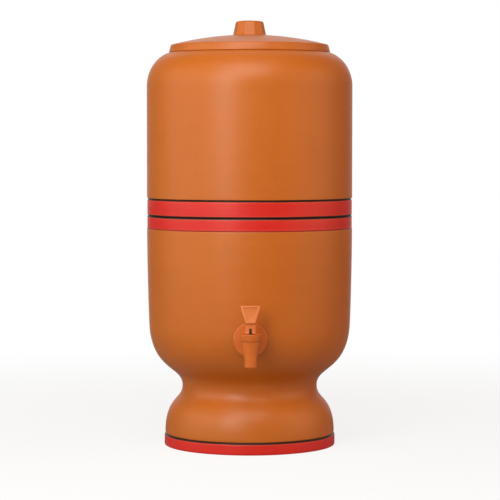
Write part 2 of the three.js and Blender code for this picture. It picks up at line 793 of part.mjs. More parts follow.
function tapBody() {
  const { flangeBack, barrelY, shoulder, nutFront } = tapPlaces();
  const spoutBottom = shoulder - spoutDrop;
  const barrelTop = shoulder + barrelNeckHeight;
  const seat = shoulder - seatDrop;
  const neckHeight = tapHeight - neckDrop;
  const barrelOutline = [
    at(0, spoutBottom),
    at(spoutRadius - edgeRound / 3, spoutBottom),
    at(spoutRadius, spoutBottom + edgeRound / 3),
    at(spoutRadius, spoutBottom + spoutStraight),
    at(barrelKneeRadius, shoulder - barrelKneeDrop),
    at(barrelRadius, shoulder - edgeRound / 3),
    at(barrelRadius - edgeRound / 3, shoulder),
    at(chamberRadius + barrelNeckWall, shoulder),
    at(chamberRadius + barrelNeckWall, barrelTop),
    at(0, barrelTop),
  ];
  const barrel = revolve(barrelOutline, fittingFacets).translate([0, barrelY, 0]);
  const waterway = revolve(
    [
      at(0, spoutBottom - cutOverrun),
      at(spoutBore, spoutBottom - cutOverrun),
      at(spoutBore, seat),
      at(chamberRadius, seat + seatDepth),
      at(chamberRadius, barrelTop + cutOverrun),
      at(0, barrelTop + cutOverrun),
    ],
    fittingFacets,
  ).translate([0, barrelY, 0]);
  const flangeFront = flangeBack - flangeThickness;
  const hubFront = flangeFront - hubLength;
  const flange = revolve(
    [
      at(0, flangeBack),
      at(flangeRadius, flangeBack),
      at(flangeRadius, flangeFront + flangeRound),
      at(flangeRadius - flangeRound, flangeFront),
      at(hubRadius, flangeFront),
      at(neckRadius, hubFront),
      at(0, hubFront),
    ],
    2 * smallFacets,
  )
    .rotate([-90, 0, 0])
    .translate([0, 0, tapHeight]);
  const shankBack = nutFront + tapNutThickness + shankTail;
  const shankFront = flangeBack - flangeThickness / 2;
  const shank = ringAlongY(shankRadius, 0, shankFront, shankBack, tapHeight, fittingFacets);
  const neckPath = new THREE.CubicBezierCurve3(
    new THREE.Vector3(0, flangeFront, tapHeight),
    new THREE.Vector3(0, flangeFront - neckPull, tapHeight),
    new THREE.Vector3(0, flangeFront - neckPull, neckHeight),
    new THREE.Vector3(0, barrelY, neckHeight),
  );
  const neck = tubeAlong(neckPath, neckRadius, 7, smallFacets);
  const neckWay = tubeAlong(neckPath, neckBore, 7, smallFacets);
  const wayFront = flangeFront - neckBore / 2;
  const shankWay = ringAlongY(shankBore, 0, wayFront, shankBack + cutOverrun, tapHeight, smallFacets);
  const outside = barrel.add(neck).add(flange).add(shank);
  return piece("tap_body", outside.subtract(waterway.add(neckWay).add(shankWay)), tapPlastic);
}

function outerGasket() {
  const { flangeBack } = tapPlaces();
  const hole = shankRadius + seatGap;
  const front = flangeBack + seatGap;
  const disc = ringAlongY(outerGasketRadius, hole, front, -waistRadius, tapHeight, fittingFacets);
  const wall = revolve([at(0, 0), ...lowerOutside(seatGap), at(0, jointHeight)], vesselFacets);
  return piece("tap_outer_gasket", disc.subtract(wall), rubber);
}

function innerGasket() {
  const { flangeBack, nutFront } = tapPlaces();
  const hole = shankRadius + seatGap;
  const back = nutFront - seatGap;
  const disc = ringAlongY(innerGasketRadius, hole, flangeBack, back, tapHeight, fittingFacets);
  const space = revolve([at(0, jointHeight), ...lowerInside(seatGap)], vesselFacets);
  return piece("tap_inner_gasket", disc.intersect(space), rubber);
}

function tapNut() {
  const { nutFront } = tapPlaces();
  const nutBack = nutFront + tapNutThickness;
  const nut = ringAlongY(tapNutRadius, 0, nutFront, nutBack, tapHeight, 6);
  const boreRadius = shankRadius + seatGap;
  const boreFront = nutFront - cutOverrun;
  const bore = ringAlongY(boreRadius, 0, boreFront, nutBack + cutOverrun, tapHeight, fittingFacets);
  return piece("tap_nut", nut.subtract(bore), whitePlastic);
}

function tapCap() {
  const { barrelY, shoulder, capTop } = tapPlaces();
  const bottom = shoulder + seatGap;
  const ceiling = capTop - capTopThickness;
  const inner = chamberRadius + barrelNeckWall + seatGap;
  const outline = [
    at(0, ceiling),
    at(inner, ceiling),
    at(inner, bottom),
    at(capRadius - capRound, bottom),
    at(capRadius, bottom + capRound),
    at(capTopRadius, capTop - capRound),
    at(capTopRadius - capRound, capTop),
    at(0, capTop),
  ];
  const slot = block(capSlotWidth, capSlotDepth, capHeight, [0, 0, capTop]);
  const cap = revolve(outline, fittingFacets).subtract(slot).translate([0, barrelY, 0]);
  return piece("tap_cap", cap, tapPlastic);
}

// Heights inside the barrel, from the rubber cup's tip up to its clamped rim.
function cupLevels() {
  const { shoulder, capTop } = tapPlaces();
  const seat = shoulder - seatDrop;
  const plugBottom = seat + seatGap * 2;
  const plugTop = plugBottom + cupPlugHeight;
  const headBottom = plugTop - cupSkin - cupHeadHeight - seatGap;
  const collarBottom = plugTop + seatGap;
  const springBottom = collarBottom + stemCollarThickness + seatGap;
  const rimBottom = shoulder + barrelNeckHeight + seatGap;
  const springTop = capTop - capTopThickness - seatGap;
  return { seat, plugBottom, plugTop, headBottom, collarBottom, springBottom, rimBottom, springTop };
}

function seatCup() {
  const { barrelY } = tapPlaces();
  const { seat, plugBottom, plugTop, headBottom, rimBottom } = cupLevels();
  const bell = chamberRadius - seatGap;
  const pocket = cupHeadRadius + seatGap;
  const throat = stemRodRadius + seatGap;
  const outline = [
    at(0, plugBottom),
    at(spoutBore - seatGap, plugBottom),
    at(cupPlugRadius, seat + seatDepth),
    at(cupPlugRadius, plugTop - cupSkin),
    at(bell, plugTop),
    at(bell, rimBottom),
    at(chamberRadius + barrelNeckWall - seatGap, rimBottom),
    at(chamberRadius + barrelNeckWall - seatGap, rimBottom + cupRim),
    at(bell - cupSkin, rimBottom + cupRim),
    at(bell - cupSkin, plugTop),
    at(throat, plugTop),
    at(throat, headBottom + cupHeadHeight + seatGap),
    at(pocket, headBottom + cupHeadHeight + seatGap),
    at(pocket, headBottom - seatGap),
    at(0, headBottom - seatGap),
  ];
  return piece("tap_seat_cup", revolve(outline, smallFacets).translate([0, barrelY, 0]), silicone);
}

function tapStem() {
  const { barrelY, capTop } = tapPlaces();
  const { headBottom, collarBottom } = cupLevels();
  const pinHeight = capTop + seatGap + pinRise;
  const collarTop = collarBottom + stemCollarThickness;
  const rodTop = capTop - capTopThickness - seatGap;
  const rod = revolve(
    [
      at(0, headBottom),
      at(cupHeadRadius, headBottom),
      at(cupHeadRadius, headBottom + cupHeadHeight),
      at(stemRodRadius, headBottom + cupHeadHeight),
      at(stemRodRadius, collarBottom),
      at(stemCollarRadius, collarBottom),
      at(stemCollarRadius, collarTop),
      at(stemRodRadius, collarTop),
      at(stemRodRadius, rodTop),
      at(0, rodTop),
    ],
    smallFacets,
  );
  const tangBottom = rodTop - stemRodRadius;
  const tangWidth = forkGap - 2 * seatGap;
  const half = tangDepth / 2;
  const crown = Array.from({ length: 7 }, (_, i) => {
    const turn = (Math.PI * i) / 6;
    return [half * Math.cos(turn), pinHeight + half * Math.sin(turn)];
  });
  const tang = plateInYZ([[-half, tangBottom], [half, tangBottom], ...crown], tangWidth, 0);
  const eye = rodAlongX(leverPinRadius + seatGap, tangWidth + cutOverrun, 0, pinHeight, smallFacets);
  const stem = rod.add(tang).subtract(eye).translate([0, barrelY, 0]);
  return piece("tap_stem", stem, blackPlastic);
}

class Helix extends THREE.Curve {
  constructor(radius, bottom, top, turns) {
    super();
    Object.assign(this, { radius, bottom, top, turns });
  }
  getPoint(share, target = new THREE.Vector3()) {
    const turn = 2 * Math.PI * this.turns * share;
    const height = this.bottom + (this.top - this.bottom) * share;
    return target.set(this.radius * Math.cos(turn), this.radius * Math.sin(turn), height);
  }
}

function tapSpring() {
  const { barrelY } = tapPlaces();
  const { springBottom, springTop } = cupLevels();
  const inset = springWire / 2;
  const coil = new Helix(springRadius, springBottom + inset, springTop - inset, springTurns);
  const wire = tubeAlong(coil, springWire / 2, springTurns * 8, 5).translate([0, barrelY, 0]);
  return piece("tap_spring", wire, steel);
}

// Lever: its two cam feet stand on the cap, and tipping it forward lifts the stem

function leverPlaces() {
  const { barrelY, capTop } = tapPlaces();
  return { barrelY, footHeight: capTop + seatGap, pinHeight: capTop + seatGap + pinRise };
}

function tapLever() {
  const { barrelY, footHeight, pinHeight } = leverPlaces();
  const forkWidth = forkGap + 2 * prongWidth;
  const paddleBottom = footHeight + paddleBottomHeight;
  const half = camDepth / 2;
  const neckHalf = neckDepth / 2;
  const side = [
    [-half, footHeight + camRound],
    [camRound - half, footHeight],
    [half - camRound, footHeight],
    [half, footHeight + camRound],
    [half, pinHeight],
    [neckHalf, footHeight + pinRise + camRise],
    [neckHalf, paddleBottom + paddleBorder],
    [-neckHalf, paddleBottom + paddleBorder],
    [-neckHalf, footHeight + pinRise + camRise],
    [-half, pinHeight],
  ];
  const neck = plateInYZ(side, forkWidth, 0);
  const forkTop = pinHeight + tangDepth / 2 + 2 * seatGap;
  const gap = block(forkGap, camDepth + cutOverrun, 2 * (forkTop - footHeight), [0, 0, footHeight]);
  const pinHole = rodAlongX(leverPinRadius + seatGap, forkWidth + cutOverrun, 0, pinHeight, smallFacets);
  const paddle = leverPaddle().rotate([-paddleLean, 0, 0]).translate([0, -paddleForward, paddleBottom]);
  const lever = neck.subtract(gap).subtract(pinHole).add(paddle).translate([0, barrelY, 0]);
  return piece("tap_lever", lever, tapPlastic);
}

// The paddle's outline as seen from the front, standing on the XZ origin and taken in by inset.
function paddleOutline(inset) {
  const flare = (paddleTopWidth - paddleBottomWidth) / 2 / paddleHeight;
  const sideInset = inset * Math.hypot(1, flare);
  const halfAt = (height) => paddleBottomWidth / 2 + flare * height - sideInset;
  const [low, high] = [inset, paddleHeight - inset];
  return [
    [-halfAt(low), low],
    [halfAt(low), low],
    [halfAt(high), high],
    [-halfAt(high), high],
  ];
}

function leverPaddle() {
  const slab = (inset, depth, bevel) => {
    const shape = new THREE.Shape(paddleOutline(inset).map(([x, z]) => at(x, z)));
    const options = {
      depth,
      steps: 1,
      bevelEnabled: bevel > 0,
      bevelThickness: bevel,
      bevelSize: bevel,
      bevelOffset: -bevel,
      bevelSegments: 1,
    };
    return solidOf(new THREE.ExtrudeGeometry(shape, options).rotateX(Math.PI / 2));
  };
  const plate = slab(0, paddleThickness - 2 * paddleRound, paddleRound).translate([
    0,
    paddleThickness / 2 - paddleRound,
    0,
  ]);
  const recess = slab(paddleBorder, paddleRecess + cutOverrun, 0).translate([
    0,
    paddleRecess - paddleThickness / 2,
    0,
  ]);
  return plate.subtract(recess);
}

function leverPin() {
  const { barrelY, pinHeight } = leverPlaces();
  const length = forkGap + 2 * prongWidth - 2 * seatGap;
  const pin = rodAlongX(leverPinRadius, length, barrelY, pinHeight, smallFacets);
  return piece("tap_lever_pin", pin, steel);
}

const filter = new THREE.Group();
filter.add(
  lowerChamber(),
  upperChamber(),
  lid(),
  candleAssembly("left", 0),
  candleAssembly("right", halfTurn),
  tapBody(),
  outerGasket(),
  innerGasket(),
  tapNut(),
  tapCap(),
  seatCup(),
  tapStem(),
  tapSpring(),
  tapLever(),
  leverPin(),
);

// The origin is on the ground, under the middle of the vessels and the tap together.
const tapFront = tapPlaces().barrelY - capTopRadius;
const vesselBack = Math.max(bodyRadius, bellyRadius, footRadius);
filter.position.y = -(tapFront + vesselBack) / 2;

export default filter;
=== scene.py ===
import bmesh
import bpy
import math
from mathutils import Matrix, Vector


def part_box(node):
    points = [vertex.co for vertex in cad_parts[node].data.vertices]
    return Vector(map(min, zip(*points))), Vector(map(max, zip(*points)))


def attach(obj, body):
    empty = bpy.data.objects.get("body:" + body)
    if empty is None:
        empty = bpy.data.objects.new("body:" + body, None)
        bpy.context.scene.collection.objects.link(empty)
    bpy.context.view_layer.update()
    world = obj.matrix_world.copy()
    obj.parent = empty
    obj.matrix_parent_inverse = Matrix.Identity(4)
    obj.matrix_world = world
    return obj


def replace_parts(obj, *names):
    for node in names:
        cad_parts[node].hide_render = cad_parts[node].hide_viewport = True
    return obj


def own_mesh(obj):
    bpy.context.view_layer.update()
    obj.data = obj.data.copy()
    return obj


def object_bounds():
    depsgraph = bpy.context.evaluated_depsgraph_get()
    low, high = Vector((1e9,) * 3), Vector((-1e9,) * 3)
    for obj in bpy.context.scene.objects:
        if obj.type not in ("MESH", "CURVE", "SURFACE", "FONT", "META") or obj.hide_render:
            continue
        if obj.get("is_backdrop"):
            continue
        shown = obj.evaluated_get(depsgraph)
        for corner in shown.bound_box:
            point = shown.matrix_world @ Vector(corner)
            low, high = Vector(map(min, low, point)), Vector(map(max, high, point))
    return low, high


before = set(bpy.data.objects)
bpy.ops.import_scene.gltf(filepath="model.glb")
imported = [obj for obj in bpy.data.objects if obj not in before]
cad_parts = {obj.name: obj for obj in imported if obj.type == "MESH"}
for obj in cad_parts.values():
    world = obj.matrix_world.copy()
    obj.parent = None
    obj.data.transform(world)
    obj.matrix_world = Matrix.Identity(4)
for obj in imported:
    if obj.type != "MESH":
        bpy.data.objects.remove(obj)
cad_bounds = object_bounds()


# The lower chamber: a jar of red clay turned on the wheel together with its hollow foot, fired and left
# unglazed. The bands round its foot and rim are brushed on in red enamel beside black lines in shallow
# grooves and one scribed line in a dark red that is partly painted shade of its groove, and its wall is
# drilled for the tap.

MM, TOUCHING = 0.001, 1e-6


class Wire:
    """A value in a node tree. Arithmetic on it adds the Math nodes that work it out."""

    def __init__(self, graph, socket):
        self.graph, self.socket = graph, socket

    def out(self, name):
        return Wire(self.graph, self.socket.node.outputs[name])

    def math(self, operation, *others):
        return self.graph.math(operation, self, *others)

    def __add__(self, other):
        return self.math("ADD", other)

    def __sub__(self, other):
        return self.math("SUBTRACT", other)

    def __rsub__(self, other):
        return self.graph.math("SUBTRACT", other, self)

    def __mul__(self, other):
        return self.math("MULTIPLY", other)

    def __truediv__(self, other):
        return self.math("DIVIDE", other)

    __radd__ = __add__
    __rmul__ = __mul__

    def past(self, edge, soft):
        """0 below the edge and 1 beyond it, with a soft change between."""
        places = {0: self, 1: edge - soft, 2: edge + soft}
        return self.graph.add("ShaderNodeMapRange", {"interpolation_type": "SMOOTHSTEP"}, places)


class Graph:
    """A node tree under construction."""

    def __init__(self, tree):
        self.tree = tree

    def add(self, kind, settings=None, sockets=None, output=0):
        made = self.tree.nodes.new(kind)
        for name, value in (settings or {}).items():
            setattr(made, name, value)
        for key, value in (sockets or {}).items():
            if isinstance(value, Wire):
                self.tree.links.new(value.socket, made.inputs[key])
            else:
                made.inputs[key].default_value = value
        return Wire(self, made.outputs[output]) if made.outputs else None

    def math(self, operation, *operands):
        return self.add("ShaderNodeMath", {"operation": operation}, dict(enumerate(operands)))

    def vector(self, x=0.0, y=0.0, z=0.0):
        return self.add("ShaderNodeCombineXYZ", None, {0: x, 1: y, 2: z})

    def parts(self, vector):
        """A vector's X, Y and Z."""
        split = self.add("ShaderNodeSeparateXYZ", None, {0: vector})
        return [split.out(letter) for letter in "XYZ"]


class Finish(Graph):
    """A material whose patterns are measured in metres from a point of the object."""

    def __init__(self, name, centre=(0, 0, 0)):
        self.material = bpy.data.materials.new(name)
        self.material.use_nodes = True
        self.material.node_tree.nodes.clear()
        super().__init__(self.material.node_tree)
        self.centre = centre
        self.place = self.stretched(1, 1, 1)

    def stretched(self, *factors):
        """Places on the object, with the X, Y and Z axes stretched by these factors."""
        place = self.add("ShaderNodeTexCoord").out("Object")
        shift = tuple(-c * factor for c, factor in zip(self.centre, factors))
        return self.add("ShaderNodeMapping", None, {"Vector": place, "Location": shift, "Scale": factors})

    def noise(self, scale, detail=2, place=None):
        """A wandering value round 0, mostly between -0.5 and 0.5."""
        sockets = {"Vector": place or self.place, "Scale": scale, "Detail": detail}
        return (self.add("ShaderNodeTexNoise", None, sockets) - 0.5) * 2

    def mixed(self, share, one, other):
        """One colour where the share is 0 and the other where it is 1."""
        return self.add("ShaderNodeMix", {"data_type": "RGBA"}, {0: share, 6: one, 7: other}, 2)

    def surface(self, relief, **sockets):
        """Ends the material, with a relief in metres and the shader's sockets by name."""
        normal = self.add("ShaderNodeBump", None, {"Distance": 1.0, "Height": relief})
        sockets = {name.replace("_", " "): value for name, value in sockets.items()}
        shader = self.add("ShaderNodeBsdfPrincipled", None, {**sockets, "Normal": normal})
        self.add("ShaderNodeOutputMaterial", None, {"Surface": shader})
        return self.material


def colour(red, green, blue):
    """A colour as it looks on screen, from 0 to 255, turned into light."""
    def light(value):
        value /= 255
        return value / 12.92 if value <= 0.04045 else ((value + 0.055) / 1.055) ** 2.4
    return (light(red), light(green), light(blue), 1.0)


def bezier(start, pull, other_pull, end, steps):
    """Points along a curve that leaves start towards pull and reaches end from other_pull."""
    def point(t):
        weights = ((1 - t) ** 3, 3 * t * (1 - t) ** 2, 3 * t * t * (1 - t), t ** 3)
        return tuple(sum(w * p[i] for w, p in zip(weights, (start, pull, other_pull, end))) for i in (0, 1))
    return [point(i / steps) for i in range(steps + 1)]


def eased(outline, size, steps=3):
    """An outline with its sharp corners rounded by size, or by a corner's own third number."""
    nearly_straight, almost_half = math.radians(158), 0.48
    done = [outline[0][:2]]
    for before, corner, after in zip(outline, outline[1:], outline[2:]):
        tip = Vector(corner[:2])
        back, on = Vector(before[:2]) - tip, Vector(after[:2]) - tip
        if min(back.length, on.length) < TOUCHING or back.angle(on) > nearly_straight:
            done.append(tuple(tip))
            continue
        reach = corner[2] if len(corner) > 2 else size
        start = tip + back.normalized() * min(reach, back.length * almost_half)
        end = tip + on.normalized() * min(reach, on.length * almost_half)
        for i in range(steps + 1):
            t = i / steps
            done.append(tuple(start * (1 - t) ** 2 + tip * 2 * t * (1 - t) + end * t * t))
    return [*done, outline[-1][:2]]


def fine(outline, step):
    """An outline with its long sides divided, so that the wheel's rings show on them."""
    done = [outline[0]]
    for start, end in zip(outline, outline[1:]):
        count = max(1, math.ceil(math.dist(start, end) / step))
        for i in range(1, count + 1):
            done.append(tuple(a + (b - a) * i / count for a, b in zip(start, end)))
    return done


def node_group(name, inputs):
    """An empty Geometry Nodes tree with named inputs, and its input node."""
    tree = bpy.data.node_groups.new(name, "GeometryNodeTree")
    for label, kind in inputs.items():
        tree.interface.new_socket(label, in_out="INPUT", socket_type="NodeSocket" + kind)
    tree.interface.new_socket("Result", in_out="OUTPUT", socket_type="NodeSocketGeometry")
    graph = Graph(tree)
    return graph, graph.add("NodeGroupInput")


def finished_group(graph, geometry, material):
    realized = graph.add("GeometryNodeRealizeInstances", None, {"Geometry": geometry})
    coated = graph.add("GeometryNodeSetMaterial", None, {"Geometry": realized, "Material": material})
    graph.add("NodeGroupOutput", None, {0: coated})
    return graph.tree


def turning_group():
    """Turns an outline in the XZ plane about Z. Points marked as many sided are drawn in between the
    corners, and the wheel leaves shallow rings in the wall."""
    graph, given = node_group("turned_form", {
        "Outline": "Geometry", "Divisions": "Int", "Sides": "Int", "Ring Depth": "Float",
        "Ring Spacing": "Float", "Finish": "Material",
    })
    outline, divisions = given.out("Outline"), given.out("Divisions")
    rows = graph.add("GeometryNodeAttributeDomainSize", {"component": "MESH"}, {"Geometry": outline})
    grid = graph.add("GeometryNodeMeshGrid", None, {"Vertices X": divisions + 1, "Vertices Y": rows})
    index = graph.add("GeometryNodeInputIndex")
    column = ((index + 0.5) / rows).math("FLOOR")
    row = index - column * rows

    def from_outline(data_type, value):
        sockets = {"Geometry": outline, "Value": value, "Index": row}
        return graph.add("GeometryNodeSampleIndex", {"data_type": data_type, "domain": "POINT"}, sockets)

    mark = graph.add("GeometryNodeInputNamedAttribute", {"data_type": "FLOAT"}, {"Name": "many_sided"})
    many_sided = from_outline("FLOAT", mark)
    corner, _, height = graph.parts(from_outline("FLOAT_VECTOR", graph.add("GeometryNodeInputPosition")))
    turn = column * math.tau / divisions
    sector = graph.math("DIVIDE", math.tau, given.out("Sides"))
    share = turn / sector
    off_middle = ((share - share.math("FLOOR") - 0.5) * sector).math("ABSOLUTE")
    softened = off_middle.math("SMOOTH_MIN", sector * 0.49, 0.05)
    flat = (sector * 0.5).math("COSINE") / softened.math("COSINE")
    radius = corner * (1 + many_sided * (flat - 1))
    cosine, sine = turn.math("COSINE"), turn.math("SINE")
    wander = graph.vector(cosine * 0.6, sine * 0.6, height / given.out("Ring Spacing"))
    ring = graph.add("ShaderNodeTexNoise", None, {"Vector": wander, "Scale": 1.0, "Detail": 1.0})
    off_axis = (radius * 20).math("MINIMUM", 1.0)
    drawn_in = (radius - ring * given.out("Ring Depth") * off_axis).math("MAXIMUM", 0.0)
    place = graph.vector(drawn_in * cosine, drawn_in * sine, height)
    turned_grid = graph.add("GeometryNodeSetPosition", None, {"Geometry": grid, "Position": place})
    closed = graph.add("GeometryNodeMergeByDistance", None, {"Geometry": turned_grid, "Distance": TOUCHING})
    return finished_group(graph, closed, given.out("Finish"))


TURNING, EDGE_ANGLE = turning_group(), 38


def plain(shape):
    """Replaces an object's live modifiers by the mesh that they give, all in one material."""
    evaluated = shape.evaluated_get(bpy.context.evaluated_depsgraph_get())
    mesh = bpy.data.meshes.new_from_object(evaluated)
    material = mesh.materials[mesh.polygons[0].material_index]
    mesh.materials.clear()
    mesh.materials.append(material)
    mesh.polygons.foreach_set("material_index", [0] * len(mesh.polygons))
    shape.modifiers.clear()
    shape.data = mesh
    return shape


def grown(shape, tree, values):
    """Runs a Geometry Nodes tree on an object, with its inputs given by name."""
    modifier = shape.modifiers.new(tree.name, "NODES")
    modifier.node_group = tree
    for item in tree.interface.items_tree:
        if item.in_out == "INPUT" and item.name in values:
            modifier[item.identifier] = values[item.name]
    return plain(shape)


def new_object(name, vertices=(), edges=(), faces=()):
    mesh = bpy.data.meshes.new(name)
    mesh.from_pydata([tuple(v) for v in vertices], edges, faces)
    shape = bpy.data.objects.new(name, mesh)
    bpy.context.scene.collection.objects.link(shape)
    return shape


def smooth(shape, angle=EDGE_ANGLE):
    """Closes a mesh, turns its faces outwards and shades its round faces as round."""
    work = bmesh.new()
    work.from_mesh(shape.data)
    bmesh.ops.remove_doubles(work, verts=work.verts, dist=TOUCHING)
    bmesh.ops.dissolve_degenerate(work, edges=work.edges, dist=TOUCHING)
    bmesh.ops.recalc_face_normals(work, faces=work.faces)
    work.to_mesh(shape.data)
    work.free()
    shape.data.shade_smooth()
    shape.data.set_sharp_from_angle(angle=math.radians(angle))
    return shape


def turned(name, outline, material, divisions=96, rings=(0.0, 7.0), sides=10, many_sided=None):
    """A form turned about Z from (radius, height) points in millimetres."""
    points = [(max(radius, 0) * MM, 0, height * MM) for radius, height in outline]
    shape = new_object(name, points, [(i, i + 1) for i in range(len(points) - 1)])
    marks = shape.data.attributes.new("many_sided", "FLOAT", "POINT")
    marks.data.foreach_set("value", many_sided or [0.0] * len(points))
    return smooth(grown(shape, TURNING, {
        "Divisions": divisions, "Sides": sides, "Ring Depth": rings[0] * MM,
        "Ring Spacing": rings[1] * MM, "Finish": material,
    }))


def drill(name, radius, low, high, material, divisions=48):
    """A plain round bar along Z, for the hole that it leaves."""
    return turned(name, [(0, low), (radius, low), (radius, high), (0, high)], material, divisions)


def placed(shape, *matrices):
    for matrix in matrices:
        shape.data.transform(matrix)
    return shape


def cut(shape, *cutters):
    """Takes the cutters out of a shape and throws them away."""
    for cutter in cutters:
        modifier = shape.modifiers.new("cut", "BOOLEAN")
        modifier.object, modifier.operation, modifier.solver = cutter, "DIFFERENCE", "EXACT"
    plain(shape)
    for cutter in cutters:
        bpy.data.objects.remove(cutter)
    return smooth(shape)


def dress(shape, body, slot, *nodes):
    """The piece moves with its body and stands for its plain solids. Its slot is not used."""
    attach(shape, body)
    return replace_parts(shape, *nodes)


def span(node):
    """A plain solid's lowest and highest corners in millimetres."""
    low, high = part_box(node)
    return low / MM, high / MM


def middle(node):
    low, high = span(node)
    return (low + high) / 2


def moved(x=0, y=0, z=0):
    return Matrix.Translation((x * MM, y * MM, z * MM))


axis_y = middle("upper_chamber").y
along_y = Matrix.Rotation(-math.pi / 2, 4, "X")
pale_clay, deep_clay, clay_fleck = colour(202, 108, 18), colour(187, 92, 6), colour(140, 70, 36)
fresh_red, thin_red = colour(212, 14, 4), colour(218, 44, 24)
line_black_and_joint_shade, scribe_red_with_painted_shade = colour(42, 11, 4), colour(134, 14, 2)
wheel_rings, wheel_divisions, ring_step = (0.1, 7), 240, 3.5


def fired_clay(name, reds=(), black_lines_and_joint_shade=(), scribe_bands_with_painted_shade=()):
    """Terracotta. A painted band has a bottom, a top and a radius that all its paint lies outside."""
    clay = Finish(name, (0, axis_y * MM, 0))
    clouds, mottle = clay.noise(8, 3), clay.noise(60, 3)
    streaks = clay.noise(1, 4, clay.stretched(4, 4, 150))
    grain = clay.noise(1400, 2)
    flecks = clay.noise(480, 1).past(0.44, 0.05)
    tone = 0.5 + clouds * 0.35 + mottle * 0.15 + streaks * 0.1
    tint = clay.mixed(flecks * 0.35, clay.mixed(tone, deep_clay, pale_clay), clay_fleck)
    rough = 0.42 + mottle * 0.06 + streaks * 0.05
    relief = streaks * 0.00001 + clouds * 0.0001 + grain * 0.000006 - flecks * 0.00001
    if reds:
        x, y, z = clay.parts(clay.place)
        radius, edge = (x * x + y * y).math("SQRT"), z + clay.noise(20, 3) * 0.0004

        def brushed(low, high, inside, soft=0.00018, inset=0.0):
            above, below = edge.past((low + inset) * MM, soft), 1 - edge.past((high - inset) * MM, soft)
            return above * below * radius.past(inside * MM, 0.0004)

        red = sum(brushed(*band) for band in reds)
        heart = sum(brushed(*band, soft=0.0014, inset=1.4) for band in reds)
        # Black paint of the grooved lines; on the rounded rims at the joint it is partly painted shade of the
        # gap between the jars.
        black = sum(brushed(*band) for band in black_lines_and_joint_shade)
        worn = heart * (0.75 + streaks * 0.5 + mottle * 0.3)
        tint = clay.mixed(red, tint, clay.mixed(worn, thin_red, fresh_red))
        tint = clay.mixed(black, tint, line_black_and_joint_shade)
        # The scribed groove takes a darker red: red paint with painted shade of the groove.
        if scribe_bands_with_painted_shade:
            tint = clay.mixed(sum(brushed(*band) for band in scribe_bands_with_painted_shade), tint, scribe_red_with_painted_shade)
        rough = rough * (1 - red) + red * (0.42 + streaks * 0.08)
        relief = relief + red * 0.00005 + streaks * red * 0.00003
    return clay.surface(relief, Base_Color=tint, Roughness=rough, Specular_IOR_Level=0.56)


def thrown(name, outline, clay, *facets):
    """A clay form turned on the wheel, with its rings, in its place on the vessels' axis."""
    form = turned(name, outline, clay, wheel_divisions, wheel_rings, *facets)
    return placed(form, moved(y=axis_y))


body_radius = span("upper_chamber")[1].x
joint = span("lower_chamber")[1].z
tap_height = middle("tap_outer_gasket").z
wall, foot_wall, edge_round, groove, band_inset = 9, 10.5, 1.7, 1.3, 0.4
foot_radius, foot_band, foot_line, foot_top_radius, foot_shoulder = 108.3, 13.1, 2.8, 107.3, 60.7
waist_radius, waist = 85.5, 75.3
belly_radius, belly, belly_pull = body_radius - 2.4, 156.3, 62.5
rim_band, scribe, scribe_depth, tap_hole_radius = 13.4, 1.2, 0.6, 8.6
reservoir_floor, floor_thickness = 94.3, 11
foot_top = foot_band + foot_line
band_bottom = joint - edge_round - rim_band
scribe_bottom = band_bottom - scribe
slope = (body_radius - belly_radius) / (scribe_bottom - belly)
lower_outside = [
    (foot_radius, 0),
    (foot_radius, foot_band, 0.8),
    (foot_radius - groove, foot_band + foot_line / 3),
    (foot_top_radius - groove, foot_top - foot_line / 3),
    *bezier((foot_top_radius, foot_top), (foot_top_radius, foot_shoulder),
            (waist_radius, waist - 19.5), (waist_radius, waist), 30),
    *bezier((waist_radius, waist), (waist_radius, waist + 25.5),
            (belly_radius - 1.8, belly - belly_pull), (belly_radius, belly), 34)[1:],
    *bezier((belly_radius, belly), (belly_radius + slope * belly_pull, belly + belly_pull / 2),
            (body_radius, scribe_bottom - belly_pull / 2), (body_radius, scribe_bottom), 26)[1:],
    (body_radius - scribe_depth, scribe_bottom + scribe / 3),
    (body_radius - scribe_depth, band_bottom - scribe / 3),
    (body_radius - band_inset, band_bottom),
    (body_radius - band_inset, joint),
]
ceiling, neck = reservoir_floor - floor_thickness, waist_radius - foot_wall
mouth, inner_wall = foot_radius - foot_wall, belly_radius - wall
foot_hollow = [
    (0, ceiling),
    *bezier((48, ceiling), (neck - 8, ceiling), (neck, ceiling - 8), (neck, ceiling - 16), 12),
    *bezier((neck, ceiling - 16), (neck, ceiling - 32), (mouth, 46), (mouth, 12), 18)[1:],
    (mouth, 0),
]
lower_inside = [
    (body_radius - wall, joint, 3),
    *bezier((body_radius - wall, joint - 6), (body_radius - wall - 0.8, joint - 48),
            (inner_wall, belly + 48), (inner_wall, belly), 14),
    *bezier((inner_wall, belly), (inner_wall, belly - 49), (88, reservoir_floor),
            (60, reservoir_floor), 22)[1:],
    (0, reservoir_floor),
]
foot_skin, skin = foot_radius - 5, body_radius - 5
lower_clay = fired_clay(
    "lower_chamber_clay",
    reds=[(-9, foot_band, foot_skin), (band_bottom, joint - edge_round, skin)],
    # The black round the rim's edge at the joint is partly a painted line and partly painted shade of the gap.
    black_lines_and_joint_shade=[(foot_band, foot_top - 0.2, foot_skin), (joint - edge_round, joint + 9, body_radius - 2.4)],
    # The scribed line's dark red is partly painted shade of its groove.
    scribe_bands_with_painted_shade=[(scribe_bottom, band_bottom, skin)],
)
outline = fine(eased([*foot_hollow, *lower_outside, *lower_inside], edge_round, 4), ring_step)
lower_chamber = thrown("lower_chamber_body", outline, lower_clay)
shank_hole = drill("shank_hole", tap_hole_radius, -160, -80, lower_clay)
cut(lower_chamber, placed(shank_hole, along_y, moved(y=axis_y, z=tap_height)))
dress(lower_chamber, "lower", "clay", "lower_chamber")


# The upper chamber: the second turned jar. Its spigot drops inside the lower rim and its floor carries
# the two candles through drilled holes. Its shoulder rises in a quarter curve to a flat lip.

